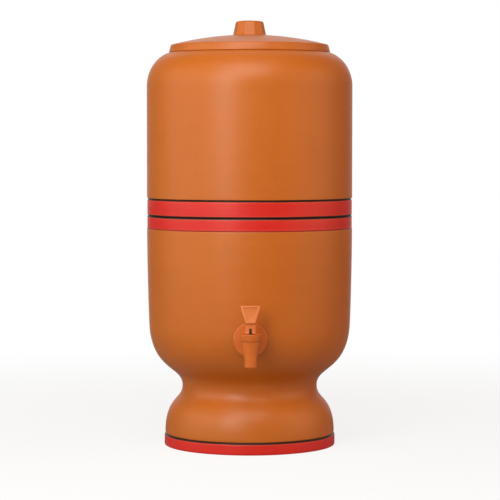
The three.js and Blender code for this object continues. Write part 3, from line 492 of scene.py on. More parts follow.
lid_radius = span("lid")[1].x
seat = joint + 0.3
underside, lip = span("upper_chamber")[0].z, span("upper_chamber")[1].z
chamber_floor = underside + 14
inner_radius = body_radius - wall
band_height, line_height = 17.8, 2.6
band_top = seat + edge_round + band_height
line_top = band_top + line_height
shoulder_width, shoulder_height, mouth_radius, stem_hole_radius = 38.4, 44, 88.3, 7.5
lip_share = (lid_radius + 0.3 - (body_radius - shoulder_width)) / shoulder_width
shoulder_start = lip - shoulder_height * math.sqrt(1 - lip_share ** 2)


def quarter(centre, width, height, steps, end=90):
    """Points from the side of an ellipse round to an angle near its top."""
    turns = [math.radians(end * i / steps) for i in range(steps + 1)]
    return [(centre[0] + width * math.cos(t), centre[1] + height * math.sin(t)) for t in turns]


lip_angle = math.degrees(math.acos(lip_share))
shoulder_centre = (body_radius - shoulder_width, shoulder_start)
shoulder = quarter(shoulder_centre, shoulder_width, shoulder_height, 26, lip_angle)
inside = quarter((mouth_radius, shoulder_start), inner_radius - mouth_radius, lip - 11 - shoulder_start, 20)
outline = [
    (0, underside), (inner_radius - 2.2, underside), (inner_radius - 2.2, seat, 0.8),
    (body_radius - band_inset, seat), (body_radius - band_inset, band_top, 0.6),
    (body_radius - groove - band_inset, band_top + line_height / 3),
    (body_radius - groove, line_top - line_height / 3),
    (body_radius, line_top, 0.6), *shoulder, (mouth_radius, lip, 3),
    *inside[::-1], (inner_radius, chamber_floor, 14), (0, chamber_floor),
]
upper_clay = fired_clay(
    "upper_chamber_clay", reds=[(seat + edge_round, band_top, skin)],
    # The black under the seat at the joint is partly a painted line and partly painted shade of the gap.
    black_lines_and_joint_shade=[(seat - 1, seat + edge_round, body_radius - 2.4), (band_top, line_top, skin)],
)
upper_chamber = thrown("upper_chamber_body", fine(eased(outline, edge_round, 4), ring_step), upper_clay)
stem_x = {side: middle(f"{side}_candle_base").x for side in ("left", "right")}
stem_holes = [
    placed(drill("stem_hole", stem_hole_radius, 270, 310, upper_clay), moved(x, axis_y))
    for x in stem_x.values()
]
dress(cut(upper_chamber, *stem_holes), "upper", "clay", "upper_chamber")


# The lid: a shallow dome of the same clay, turned with the skirt that keeps it in the mouth. Its knob
# is cut to ten flats with a knife while the clay is leather hard.

lid_seat, lid_top = span("lid")[0].z + 10, span("lid")[1].z
rim_top, rim_top_radius, rise = lid_seat + 9.6, lid_radius - 2.4, 12.8
crown = rim_top + rise
sphere = (rim_top_radius ** 2 + rise ** 2) / (2 * rise)
knob_radius, knob_top_radius, knob_flats = 20.7, 17.6, 10
skirt = mouth_radius - 1.9


def dome(radius):
    return crown - (sphere - math.sqrt(sphere ** 2 - radius ** 2))


def dome_points(start, end, steps, drop=0):
    radii = [start + (end - start) * i / steps for i in range(steps + 1)]
    return [(radius, dome(radius) - drop) for radius in radii]


plate = [
    *dome_points(0, skirt - 8, 16, 10), (skirt - 8, lid_seat - 10), (skirt, lid_seat - 10),
    (skirt, lid_seat, 0.8), (lid_radius, lid_seat, 0.9), (rim_top_radius, rim_top),
    *dome_points(rim_top_radius - 2, knob_radius + 3, 22),
]
knob = [
    (knob_radius + 0.7, dome(knob_radius) + 0.3), (knob_radius - 0.1, dome(knob_radius) + 1.5),
    (knob_top_radius + 0.1, lid_top - 2.9), (knob_top_radius - 0.35, lid_top - 1.9),
    (knob_top_radius - 1.2, lid_top - 1.15), (knob_top_radius - 2.6, lid_top - 0.75),
    (knob_top_radius - 6, lid_top - 0.4), (7, lid_top - 0.1), (0, lid_top),
]
plate, knob = fine(eased(plate, 1.6, 4), ring_step), fine(knob, 2.2)
flats = [0.0] * len(plate) + [1.0] * len(knob)
lid = thrown("lid_body", [*plate, *knob], fired_clay("lid_clay"), knob_flats, flats)
dress(lid, "lid", "clay", "lid")


# Candle shells: hollow domes of porous white ceramic, slip cast and fired. Water seeps through their
# walls, and they are open only at the bottom, where they are bedded in their cups.

cast = Finish("porous_ceramic")
pores = cast.noise(900, 2).past(0.34, 0.12)
stain, brush = cast.noise(30, 3), cast.noise(1, 3, cast.stretched(60, 60, 900))
tint = cast.mixed(0.5 + stain * 0.7 + brush * 0.2, colour(226, 219, 203), colour(243, 239, 229))
tint = cast.mixed(pores * 0.45, tint, colour(196, 186, 166))
relief = brush * 0.00003 + cast.noise(1800, 2) * 0.00001 - pores * 0.00003
candle_ceramic = cast.surface(relief, Base_Color=tint, Roughness=0.86 + stain * 0.1)
candle_radius, candle_wall, dome_height = 28.5, 7, 23
for side, x in stem_x.items():
    low, high = span(f"{side}_candle")
    dome_foot, foot = high.z - dome_height, candle_radius - candle_wall
    outer = quarter((0, dome_foot), candle_radius, dome_height, 18)
    inner = quarter((0, dome_foot), foot, dome_height - candle_wall, 14)
    outline = [
        (foot + 2, low.z), (candle_radius, low.z, 1), *outer, *inner[::-1], (foot, low.z, 1), (foot + 2, low.z),
    ]
    shell = turned(f"{side}_candle_shell", fine(eased(outline, 1), 4), candle_ceramic, 96, (0.12, 3))
    dress(placed(shell, moved(x, axis_y)), "upper", "candle_ceramic", f"{side}_candle")


# Candle bases: blue moulded cups with a threaded stem below. The shell is glued into the cup, and ribs
# round the outside give the fingers a grip.


def moulded(name, tone, other, rough):
    """Injection-moulded plastic: faint flow marks, a fine skin texture and a few rubbed places."""
    plastic = Finish(name)
    flow, skin = plastic.noise(45, 2), plastic.noise(2600, 1)
    rubbed = plastic.noise(160, 4).past(0.3, 0.25)
    tint = plastic.mixed(0.5 + flow * 0.8, tone, other)
    dullness = rough + flow * 0.08 + rubbed * 0.12 + skin * 0.03
    return plastic.surface(flow * 0.00002 + skin * 0.0000025, Base_Color=tint, Roughness=dullness,
                           Specular_IOR_Level=0.55)


def winding_group():
    """A ridge wound round Z: the crest of a screw thread, or the wire of a spring."""
    graph, given = node_group("wound_ridge", {
        "Start": "Geometry", "Radius": "Float", "Bottom": "Float", "Rise": "Float", "Turns": "Float",
        "Thickness": "Float", "Section Sides": "Int", "Finish": "Material",
    })
    spiral = graph.add("GeometryNodeCurveSpiral", None, {
        "Resolution": 40, "Rotations": given.out("Turns"), "Start Radius": given.out("Radius"),
        "End Radius": given.out("Radius"), "Height": given.out("Rise"),
    })
    upright = graph.add("GeometryNodeSetCurveNormal", {"mode": "Z_UP"}, {"Curve": spiral})
    sockets = {"Resolution": given.out("Section Sides"), "Radius": given.out("Thickness") * 0.5}
    section = graph.add("GeometryNodeCurvePrimitiveCircle", None, sockets)
    sockets = {"Curve": upright, "Profile Curve": section, "Fill Caps": True}
    ridge = graph.add("GeometryNodeCurveToMesh", None, sockets)
    lift = graph.vector(z=given.out("Bottom"))
    raised = graph.add("GeometryNodeSetPosition", None, {"Geometry": ridge, "Offset": lift})
    return finished_group(graph, raised, given.out("Finish"))


def ribbing_group():
    """Upright ribs spaced evenly round Z."""
    graph, given = node_group("ring_of_ribs", {
        "Start": "Geometry", "Count": "Int", "Radius": "Float", "Bottom": "Float", "Width": "Float",
        "Depth": "Float", "Height": "Float", "Finish": "Material",
    })
    sockets = {"Resolution": given.out("Count"), "Radius": given.out("Radius")}
    circle = graph.add("GeometryNodeCurvePrimitiveCircle", None, sockets)
    width, height = given.out("Width"), given.out("Height")
    sockets = {"Vertices": 8, "Radius": width * 0.5, "Depth": height}
    rod = graph.add("GeometryNodeMeshCylinder", {"fill_type": "NGON"}, sockets)
    scale = graph.vector(given.out("Depth") * 2 / width, 1.0, 1.0)
    rib = graph.add("GeometryNodeTransform", None, {"Geometry": rod, "Scale": scale})
    x, y, _ = graph.parts(graph.add("GeometryNodeInputPosition"))
    sockets = {"Points": circle, "Instance": rib, "Rotation": graph.vector(z=y.math("ARCTAN2", x))}
    ribbed = graph.add("GeometryNodeInstanceOnPoints", None, sockets)
    lift = graph.vector(z=given.out("Bottom") + height * 0.5)
    separate = graph.add("GeometryNodeRealizeInstances", None, {"Geometry": ribbed})
    raised = graph.add("GeometryNodeSetPosition", None, {"Geometry": separate, "Offset": lift})
    return finished_group(graph, raised, given.out("Finish"))


WINDING, RIBBING = winding_group(), ribbing_group()


def wound(name, radius, bottom, top, pitch, thickness, sides, material):
    """A ridge or wire from one height to another, in millimetres."""
    rise = top - bottom - thickness
    return smooth(grown(new_object(name), WINDING, {
        "Radius": radius * MM, "Bottom": (bottom + thickness / 2) * MM, "Rise": rise * MM,
        "Turns": rise / pitch, "Thickness": thickness * MM, "Section Sides": sides, "Finish": material,
    }))


def ribs(name, count, radius, bottom, width, depth, height, material):
    return smooth(grown(new_object(name), RIBBING, {
        "Count": count, "Radius": radius * MM, "Bottom": bottom * MM, "Width": width * MM,
        "Depth": depth * MM, "Height": height * MM, "Finish": material,
    }))


def joined(main, *others):
    """Puts other meshes into the main one."""
    work = bmesh.new()
    work.from_mesh(main.data)
    for other in others:
        work.from_mesh(other.data)
        bpy.data.objects.remove(other)
    work.to_mesh(main.data)
    work.free()
    main.data.set_sharp_from_angle(angle=math.radians(EDGE_ANGLE))
    return main


def loop(outline):
    """A closed outline that starts and ends in the middle of a side, so that every corner can be eased."""
    first = tuple((a + b) / 2 for a, b in zip(outline[-1][:2], outline[0][:2]))
    return [first, *outline, first]


blue_plastic = moulded("blue_plastic", colour(44, 108, 168), colour(66, 132, 190), 0.36)
stem_radius, stem_bore, cup_wall, cup_floor, clearance = 6, 2.5, 2.3, 3, 0.3
for side, x in stem_x.items():
    low, high = span(f"{side}_candle_base")
    cup_radius, bottom = (high.x - low.x) / 2, high.z - 11
    outline = loop([
        (stem_bore, low.z, 0.3), (stem_radius - 0.5, low.z, 0.8), (stem_radius - 0.5, bottom - 1),
        (stem_radius, bottom), (cup_radius - 1.6, bottom, 1.2), (cup_radius - 0.5, bottom + 1.8),
        (cup_radius - 0.5, high.z - 2), (cup_radius, high.z - 1.6, 0.4), (cup_radius, high.z, 0.5),
        (cup_radius - cup_wall, high.z, 0.5), (cup_radius - cup_wall, bottom + cup_floor, 0.6),
        (stem_bore, bottom + cup_floor, 0.3),
    ])
    base = turned(f"{side}_candle_cup", eased(outline, 0.4), blue_plastic, 96)
    thread = wound("stem_thread", stem_radius - 0.5, low.z + 1, bottom - 1.5, 2, 1, 4, blue_plastic)
    grip = ribs("cup_grip", 40, cup_radius - 0.6, bottom + 2.2, 1.8, 0.55, 6, blue_plastic)
    base = placed(joined(base, thread, grip), moved(x, axis_y))
    dress(base, "upper", "blue_plastic", f"{side}_candle_base")


# Washers: flat rings of black rubber above and below the chamber's floor, which the wing nut squeezes
# so that no water passes the stem's hole.


def rubbery(name, tone, other, rough):
    """Pressed rubber with a dusty bloom and the fine print of its mould."""
    rubber = Finish(name)
    dust, skin = rubber.noise(90, 4), rubber.noise(3000, 2)
    tint = rubber.mixed(0.5 + dust * 0.6, tone, other)
    return rubber.surface(dust * 0.00002 + skin * 0.000006, Base_Color=tint, Roughness=rough + dust * 0.12)


rubber = rubbery("black_rubber", colour(36, 36, 37), colour(58, 57, 56), 0.72)
for side, x in stem_x.items():
    for node in (f"{side}_upper_washer", f"{side}_lower_washer"):
        low, high = span(node)
        radius, hole, dip = (high.x - low.x) / 2, stem_radius + clearance, 0.3
        mid = (hole + 2 * radius) / 3
        outline = loop([
            (hole, low.z), (mid - 1, low.z), (mid - 0.6, low.z + dip), (mid + 0.6, low.z + dip),
            (mid + 1, low.z), (radius, low.z), (radius, high.z), (mid + 1, high.z),
            (mid + 0.6, high.z - dip), (mid - 0.6, high.z - dip), (mid - 1, high.z), (hole, high.z),
        ])
        washer = turned(node + "_ring", eased(outline, 0.45), rubber, 80)
        dress(placed(washer, moved(x, axis_y)), "upper", "rubber", node)


# Wing nuts: moulded in the same blue plastic, with two lobes for the fingers. They are screwed up the
# stems under the chamber's floor and press the washers tight.


def slab(name, outline, thickness, material, bevel=0.4):
    """A flat outline of (x, z) millimetres, standing in the XZ plane with its thickness along Y."""
    half, count = thickness / 2 * MM, len(outline)
    points = [(x * MM, y, z * MM) for y in (-half, half) for x, z in outline]
    sides = [(i, (i + 1) % count, (i + 1) % count + count, i + count) for i in range(count)]
    shape = new_object(name, points, (), [tuple(range(count)), tuple(range(count, 2 * count))[::-1], *sides])
    shape.data.materials.append(material)
    smooth(shape)
    if bevel:
        rounding = shape.modifiers.new("rounding", "BEVEL")
        rounding.width, rounding.segments, rounding.limit_method = bevel * MM, 3, "ANGLE"
        rounding.angle_limit = math.radians(35)
        smooth(plain(shape), 50)
    return shape


def rounded_loop(corners, steps=5):
    """A closed outline of (x, z, rounding) corners as plain points."""
    return eased(loop(corners), 0.5, steps)[:-1]


across_x = Matrix.Rotation(math.pi / 2, 4, "Z")
for side, x in stem_x.items():
    low, high = span(f"{side}_wing_nut")
    hub_radius, bore, reach = 9.8, stem_radius + clearance, (high.x - low.x) / 2
    outline = loop([
        (bore, low.z, 0.6), (hub_radius - 0.4, low.z, 0.8), (hub_radius - 0.4, high.z - 1.8, 0.3),
        (hub_radius, high.z - 1.4, 0.3), (hub_radius, high.z, 0.4), (bore, high.z, 0.6),
    ])
    nut = turned(f"{side}_wing_nut_hub", eased(outline, 0.5), blue_plastic, 72)
    lobes = []
    for way in (-1, 1):
        lobe = rounded_loop([
            (way * (bore + 1), low.z, 0.1), (way * reach, low.z, 2.6), (way * reach, low.z + 6, 2.4),
            (way * 14, low.z + 6, 2), (way * (bore + 1), low.z + 5, 0.1),
        ])
        lobes.append(slab("lobe", lobe, 4, blue_plastic, 0.9))
    dress(placed(joined(nut, *lobes), moved(x, axis_y)), "upper", "blue_plastic", f"{side}_wing_nut")


# Float valves: white moulded bodies screwed on the stems' ends, with two ears that hold the arm's pin
# and a stop between them. The water leaves by the small nozzle.

white_plastic = moulded("white_plastic", colour(228, 227, 221), colour(241, 241, 238), 0.38)
valve_radius, nozzle_radius, nozzle_bore, pivot_offset, ear_reach, ear_thickness = 9.5, 3.8, 1.8, 14, 4.5, 2.6
arm_width, arm_thickness, heel, droop = 6, 4, 5, math.radians(30)
pivot_height, float_pin_radius = middle("left_float_pin").z, 1.5
lying = Matrix.Rotation(math.pi / 2, 4, "Y")
on_stem = {
    side: moved(x, axis_y) @ Matrix.Rotation(0 if side == "left" else math.pi, 4, "Z")
    for side, x in stem_x.items()
}


def pin_hole(pin_radius, material):
    """A hole along X in which a pin of this radius turns freely."""
    return placed(drill("pin_hole", pin_radius + clearance, -9, 9, material, 32), lying)


for side in stem_x:
    top = span(f"{side}_valve_body")[1].z
    body_bottom, socket_radius = top - 25, stem_radius + clearance
    outline = loop([
        (nozzle_bore, body_bottom - 3, 0.2), (nozzle_radius, body_bottom - 3, 0.4),
        (nozzle_radius, body_bottom, 0.5), (valve_radius, body_bottom, 2), (valve_radius, top - 4),
        (valve_radius - 0.5, top - 3.6), (valve_radius - 0.5, top - 2.4), (valve_radius, top - 2),
        (valve_radius, top, 0.5), (socket_radius, top, 0.6), (socket_radius, top - 13, 0.4),
        (nozzle_bore, top - 13, 0.4),
    ])
    valve = turned(f"{side}_valve", eased(outline, 0.4), white_plastic, 72)
    ear_inner, ear_back = arm_width / 2 + clearance, pivot_offset + ear_reach
    ear = rounded_loop([
        (4, body_bottom + 1.7, 0.1), (pivot_offset - ear_reach, pivot_height, 2),
        (pivot_offset - ear_reach / 2, pivot_height - ear_reach, 2),
        (pivot_offset + ear_reach / 2, pivot_height - ear_reach, 2), (ear_back, pivot_height, 2),
        (ear_back, body_bottom + 1.7, 1.5), (valve_radius - 1.7, body_bottom + 8, 1.2),
        (4, body_bottom + 8, 0.1),
    ])
    stop_bottom = pivot_height + heel * math.sin(droop) + arm_thickness / 2 * math.cos(droop) + clearance
    stop_top = max(stop_bottom + ear_thickness, body_bottom + 1.7)
    stop = rounded_loop([
        (pivot_offset, stop_bottom), (ear_back, stop_bottom), (ear_back, stop_top), (pivot_offset, stop_top),
    ])
    added = [placed(slab("stop", stop, 2 * ear_inner + ear_thickness, white_plastic, 0.3), across_x)]
    for way in (-1, 1):
        plate = placed(slab("ear", ear, ear_thickness, white_plastic, 0.4), across_x)
        cut(plate, placed(pin_hole(float_pin_radius, white_plastic), moved(y=pivot_offset, z=pivot_height)))
        added.append(placed(plate, moved(way * (ear_inner + ear_thickness / 2))))
    dress(placed(joined(valve, *added), on_stem[side]), "upper", "white_plastic", f"{side}_valve_body")


# Float pins: rods of drawn steel with a turned groove near each end. They are pressed through the
# valves' ears, and the arms swing on them.


def metal(name, grain):
    """Bright steel, with fine lines that the drawing left across the strongly stretched axes."""
    bright = Finish(name)
    drawn, smear = bright.noise(1, 3, bright.stretched(*grain)), bright.noise(120, 3)
    tint = bright.mixed(0.5 + smear * 0.5, colour(176, 178, 181), colour(206, 207, 209))
    rough = 0.27 + drawn * 0.12 + smear * 0.08
    return bright.surface(drawn * 0.000002, Base_Color=tint, Roughness=rough, Metallic=1.0)


def pin(name, node, radius, body):
    """A round pin along X with a turned groove near each end."""
    low, high = span(node)
    half, neck_radius = (high.x - low.x) / 2, radius - 0.2
    outline = [
        (0, -half), (radius, -half, 0.5), (radius, 1.4 - half), (neck_radius, 1.6 - half),
        (neck_radius, 2 - half), (radius, 2.2 - half), (radius, half - 2.2), (neck_radius, half - 2),
        (neck_radius, half - 1.6), (radius, half - 1.4), (radius, half, 0.5), (0, half),
    ]
    rod = turned(name, eased(outline, 0.1), pin_steel, 32)
    dress(placed(rod, lying, moved(*((low + high) / 2))), body, "steel", node)


pin_steel = metal("pin_steel", (90, 3000, 3000))
for side in stem_x:
    pin(f"{side}_pin", f"{side}_float_pin", float_pin_radius, "upper")


# Float arms: white moulded bars with a hollowed side. Each carries the rubber pad that shuts the nozzle
# and ends in the float.

float_radius, float_half = 21, 13
swung, float_reach = {}, {}
for side in stem_x:
    hung = middle(f"{side}_float") - middle(f"{side}_float_pin")
    float_reach[side] = math.hypot(hung.y, hung.z)
    swung[side] = on_stem[side] @ moved(0, pivot_offset, pivot_height) @ Matrix.Rotation(droop, 4, "X")
    end, half = float_radius - 17 + clearance - float_reach[side], arm_thickness / 2
    bar = rounded_loop([(end, -half, 0.8), (heel, -half, 1.6), (heel, half, 1.6), (end, half, 0.8)])
    bar = placed(slab(f"{side}_arm", bar, arm_width, white_plastic, 0.5), across_x)
    pocket = rounded_loop([(end + 19, 1 - half), (-20, 1 - half), (-20, half - 1), (end + 19, half - 1)])
    pockets = [
        placed(slab("pocket", pocket, 2, white_plastic, 0), moved(y=way * arm_width / 2), across_x)
        for way in (-1, 1)
    ]
    cut(bar, pin_hole(float_pin_radius, white_plastic), *pockets)
    dress(placed(bar, swung[side]), f"{side}_float", "white_plastic", f"{side}_float_arm")
    low, high = half + clearance, half + clearance + 2
    pad = eased([(0, low), (4.2, low), (4.2, high), (3, high), (2.6, high - 0.2), (0, high - 0.2)], 0.4)
    pad = turned(f"{side}_nozzle_pad", pad, rubber, 48)
    dress(placed(pad, moved(y=-pivot_offset), swung[side]), f"{side}_float", "rubber", f"{side}_valve_seal")


# Floats: closed drums of fine white foam, moulded in two halves that leave a seam round the middle. They
# are pushed on the ends of the arms.

beads = Finish("float_foam")
sockets = {"Vector": beads.place, "Scale": 420.0}
cells = beads.add("ShaderNodeTexVoronoi", {"feature": "DISTANCE_TO_EDGE"}, sockets)
seams, soil = 1 - cells.past(0.12, 0.08), beads.noise(35, 3)
tint = beads.mixed(0.5 + soil * 0.7, colour(231, 229, 221), colour(246, 245, 241))
tint = beads.mixed(seams * 0.22, tint, colour(208, 205, 196))
foam = beads.surface(soil * 0.00005 - seams * 0.00006, Base_Color=tint, Roughness=0.68 + soil * 0.1)
for side in stem_x:
    radius, half = float_radius, float_half
    outline = eased([
        (0, 0.8 - half), (12, 0.8 - half), (13, -half), (radius, -half, 5), (radius, -0.9),
        (radius - 0.5, -0.5), (radius - 0.5, 0.5), (radius, 0.9), (radius, half, 5), (13, half),
        (12, half - 0.8), (0, half - 0.8),
    ], 0.6, 5)
    drum = turned(f"{side}_float_drum", outline, foam, 96)
    socket = rounded_loop([(4, -2.3), (24, -2.3), (24, 2.3), (4, 2.3)])
    cut(drum, placed(slab("socket", socket, arm_width + 0.6, foam, 0), across_x))
    drum = placed(drum, moved(y=-float_reach[side]), swung[side])
    dress(drum, f"{side}_float", "foam", f"{side}_float")


# The tap's body: one moulding in terracotta-coloured plastic. A threaded shank passes the jar's wall, a
# flange presses the gasket, and a curved neck leads to the barrel with the spout under it.

tap_plastic = moulded("tap_plastic", colour(198, 93, 20), colour(214, 111, 33), 0.4)
barrel_y = middle("tap_cap").y
shoulder_z = tap_height + edge_round / 2
flange_back = span("tap_outer_gasket")[0].y - clearance
flange_front = flange_back - 3
shank_back = span("tap_nut")[1].y + 5
spout_bottom, barrel_top, valve_seat = shoulder_z - 31.2, shoulder_z + 5, shoulder_z - 13.5
chamber_radius, spout_bore, shank_radius = 7.2, 4.4, 7.8


def swept(name, path, radii, material, sides=40):
    """A round bar along a path of (y, z) millimetres in the middle plane, with a radius at each point."""
    points, faces = [], []
    for i, ((y, z), radius) in enumerate(zip(path, radii)):
        before, after = path[max(i - 1, 0)], path[min(i + 1, len(path) - 1)]
        way = Vector((after[0] - before[0], after[1] - before[1])).normalized()
        for j in range(sides):
            turn = math.tau * j / sides
            out = radius * math.sin(turn)
            points.append((radius * math.cos(turn) * MM, (y - way.y * out) * MM, (z + way.x * out) * MM))
    for i in range(len(path) - 1):
        for j in range(sides):
            a, b = i * sides + j, i * sides + (j + 1) % sides
            faces.append((a, b, b + sides, a + sides))
    last = len(points) - sides
    shape = new_object(name, points, (), [*faces, tuple(range(sides)), tuple(range(last, last + sides))])
    shape.data.materials.append(material)
    return smooth(shape, 60)


outline = loop([
    (spout_bore, spout_bottom, 0.4), (7.4, spout_bottom, 0.6), (7.4, spout_bottom + 9.6, 6),
    (8.9, shoulder_z - 11.5, 5), (11.6, shoulder_z, 0.6), (10, shoulder_z, 0.2), (10, barrel_top, 0.3),
    (chamber_radius, barrel_top, 0.3), (chamber_radius, valve_seat + 3, 0.3), (spout_bore, valve_seat, 0.3),
])
tap_body = placed(turned("tap_body_moulding", eased(outline, 0.4, 5), tap_plastic, 96), moved(y=barrel_y))
hub = bezier((5.6, flange_front - 7), (5.8, flange_front - 3), (8, flange_front), (12.5, flange_front), 10)
flange = [
    (0, flange_front - 7), *hub, (20.9, flange_front, 1.4), (20.9, flange_back, 0.4),
    (shank_radius - 0.7, flange_back, 0.5), (shank_radius - 0.7, shank_back, 0.8), (4.2, shank_back, 0.4),
    (4.2, flange_front + 1), (0, flange_front + 1),
]
flange = turned("flange", eased(flange, 0.4, 5), tap_plastic, 96)
thread = wound("shank_thread", shank_radius - 0.7, flange_back + 3, shank_back - 1, 2.5, 1.4, 4, tap_plastic)
neck_z, bend = tap_height - 7, flange_front - 8
path = bezier((flange_front, tap_height), (bend, tap_height), (bend, neck_z), (barrel_y + 4, neck_z), 30)
neck_radius, root_swell, root_reach, root_length = 5.5, 1.7, 9.3, 1.8
radii = [
    neck_radius + root_swell * math.exp(-max(y - barrel_y - root_reach, 0) / root_length) for y, z in path
]
core = drill("core", 7.3, 120, 150, tap_plastic, 64)
neck_bar = cut(swept("neck", path, radii, tap_plastic), placed(core, moved(y=barrel_y)))
at_tap = moved(z=tap_height)
tap_body = joined(tap_body, placed(flange, along_y, at_tap), placed(thread, along_y, at_tap), neck_bar)
dress(tap_body, "lower", "tap_plastic", "tap_body")


# Gaskets: black rubber rings outside and inside the jar's wall. Each is flat on the side of the tap or
# its nut, and takes the curve of the jar on the other.

hole = shank_radius + clearance
front = flange_back + clearance
outline = loop([(hole, front), (16, front), (17, front + 1, 0.8), (17, -waist_radius), (hole, -waist_radius)])
outer_gasket = placed(turned("outer_gasket", eased(outline, 0.4), rubber, 96), along_y, at_tap)
grown_wall = [(0, 90), *[(r + clearance, z) for r, z, *_ in lower_outside if z > 95], (0, joint)]
jar = placed(turned("jar_outside", grown_wall, rubber, wheel_divisions), moved(y=axis_y))
dress(cut(outer_gasket, jar), "lower", "rubber", "tap_outer_gasket")

nut_front, nut_back = span("tap_nut")[0].y, span("tap_nut")[1].y
back = nut_front - clearance
outline = loop([(hole, flange_back), (14.5, flange_back), (14.5, back - 1, 0.8), (13.5, back), (hole, back)])
inner_gasket = placed(turned("inner_gasket", eased(outline, 0.4), rubber, 96), along_y, at_tap)
hollow = [(r - clearance, z) for r, z, *_ in lower_inside if 95 < z < joint - 3]
shell = [*hollow, (160, hollow[-1][1]), (160, hollow[0][1]), hollow[0]]
jar = placed(turned("jar_wall", shell, rubber, wheel_divisions), moved(y=axis_y))
dress(cut(inner_gasket, jar), "lower", "rubber", "tap_inner_gasket")


# The tap's nut: a hexagon moulded in white plastic with bevelled faces. It is run up the shank inside the
# jar and pulls the tap and its gaskets against the wall.

nut_radius, face_radius, nut_bevel = 15, 12.4, 1.3
profile = [
    (hole, nut_front, 0), (face_radius, nut_front, 0), (nut_radius, nut_front + nut_bevel, 1),
    (nut_radius, nut_back - nut_bevel, 1), (face_radius, nut_back, 0), (hole, nut_back, 0),
    (hole, nut_front, 0),
]
tap_nut = turned("tap_nut_hexagon", [point[:2] for point in profile], white_plastic, 96, sides=6,
                 many_sided=[float(mark) for *_, mark in profile])
dress(placed(tap_nut, across_x, along_y, at_tap), "lower", "white_plastic", "tap_nut")


# The tap's cap: screwed over the barrel's neck, with a raised rim and a slot through which the stem
# reaches the lever.

cap_bottom, cap_top = shoulder_z + clearance, span("tap_cap")[1].z
outline = [
    (0, cap_top - 2), (10.3, cap_top - 2), (10.3, cap_bottom), (12.1, cap_bottom, 0.7), (13.7, cap_top, 0.8),
    (12.4, cap_top, 0.3), (12.1, cap_top - 0.3, 0.2), (0, cap_top - 0.3),
]
cap = placed(turned("tap_cap_turned", eased(outline, 0.3, 4), tap_plastic, 96), moved(y=barrel_y))
slot = rounded_loop([(-2.1, -9, 0.1), (2.1, -9, 0.1), (2.1, 9, 0.1), (-2.1, 9, 0.1)])
slot = slab("slot", slot, 5.8, tap_plastic, 0)
dress(cut(cap, placed(slot, moved(y=barrel_y, z=cap_top))), "lower", "tap_plastic", "tap_cap")


# The seat cup: soft pale silicone that hangs from its rim, clamped under the cap, and shuts the seat
# with its plug.

silicone = rubbery("pale_silicone", colour(205, 199, 184), colour(224, 220, 208), 0.5)
low, high = span("tap_seat_cup")
plug_bottom, rim_top_z = low.z, high.z
plug_top, rim_bottom, bell = plug_bottom + 6.4, rim_top_z - 1, chamber_radius - 0.3
web, button_height, stem_travel = 0.9, 1.8, 2.2
head_bottom = plug_top - web - button_height - 0.3
outline = [
    (0, plug_bottom), (spout_bore - 0.3, plug_bottom, 0.6), (5.7, valve_seat + 3),
    (5.7, plug_top - web, 0.5), (bell, plug_top, 0.6), (bell, rim_bottom, 0.4), (9.7, rim_bottom, 0.3),
    (9.7, rim_top_z, 0.3), (bell - web, rim_top_z, 0.4), (bell - web, plug_top, 0.5),
    (2.2, plug_top, 0.2), (2.2, head_bottom + 2.1), (3.4, head_bottom + 2.1), (3.4, head_bottom - 0.3),
    (0, head_bottom - 0.3),
]
seat_cup = placed(turned("seat_cup", eased(outline, 0.15, 4), silicone, 72), moved(y=barrel_y))
dress(seat_cup, "lower", "silicone", "tap_seat_cup")
1 - stem_travel / (rim_top_z - head_bottom)
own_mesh(seat_cup)


# The stem: black moulded rod with a button that the cup is buttoned on, a collar for the spring, and a
# flat tang with the eye for the lever's pin.

black_plastic = moulded("black_plastic", colour(24, 12, 9), colour(38, 20, 14), 0.6)
pin_z, lever_pin_radius, rod_radius = middle("tap_lever_pin").z, 1, 1.9
collar_bottom, rod_top = plug_top + 0.3, cap_top - 2.3
tang_half, tang_rise = 2.5, 2.2
outline = [
    (0, head_bottom), (3.1, head_bottom, 0.5), (3.1, head_bottom + button_height, 0.3),
    (rod_radius, head_bottom + button_height, 0.2), (rod_radius, collar_bottom, 0.2),
    (4.6, collar_bottom, 0.3), (4.6, collar_bottom + 1, 0.3), (rod_radius, collar_bottom + 1, 0.2),
    (rod_radius, rod_top, 0.3), (0, rod_top),
]
stem = turned("tap_stem_rod", eased(outline, 0.2), black_plastic, 48)
turns = [math.radians(a) for a in range(0, 181, 12)]
tang = [(tang_half * math.cos(t), pin_z + tang_rise * math.sin(t)) for t in turns]
tang = [(-tang_half, rod_top - 1.9), (tang_half, rod_top - 1.9), *tang]
tang = placed(slab("tang", tang, 2.8, black_plastic, 0.25), across_x)
tang = cut(tang, placed(pin_hole(lever_pin_radius, black_plastic), moved(z=pin_z)))
dress(placed(joined(stem, tang), moved(y=barrel_y)), "stem", "black_plastic", "tap_stem")


# The spring: five coils of steel wire wound round the stem. It stands on the stem's collar under the cap
# and presses the plug on its seat.

spring_steel = metal("spring_steel", (1500, 1500, 1500))
low, high = span("tap_spring")
coil_radius, coils, wire = 3.9, 5, 0.8
pitch = (high.z - low.z - wire) / coils
spring = wound("tap_spring_wire", coil_radius, low.z, high.z, pitch, wire, 10, spring_steel)
dress(placed(spring, moved(y=barrel_y)), "lower", "steel", "tap_spring")
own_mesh(spring)


# The lever: a moulded paddle on a forked foot, in the tap's plastic painted paler, a painted highlight of
# the light that its upturned paddle catches. Its cam feet stand on the cap, a steel pin joins it to the
# stem, and tipping it forward lifts the stem.

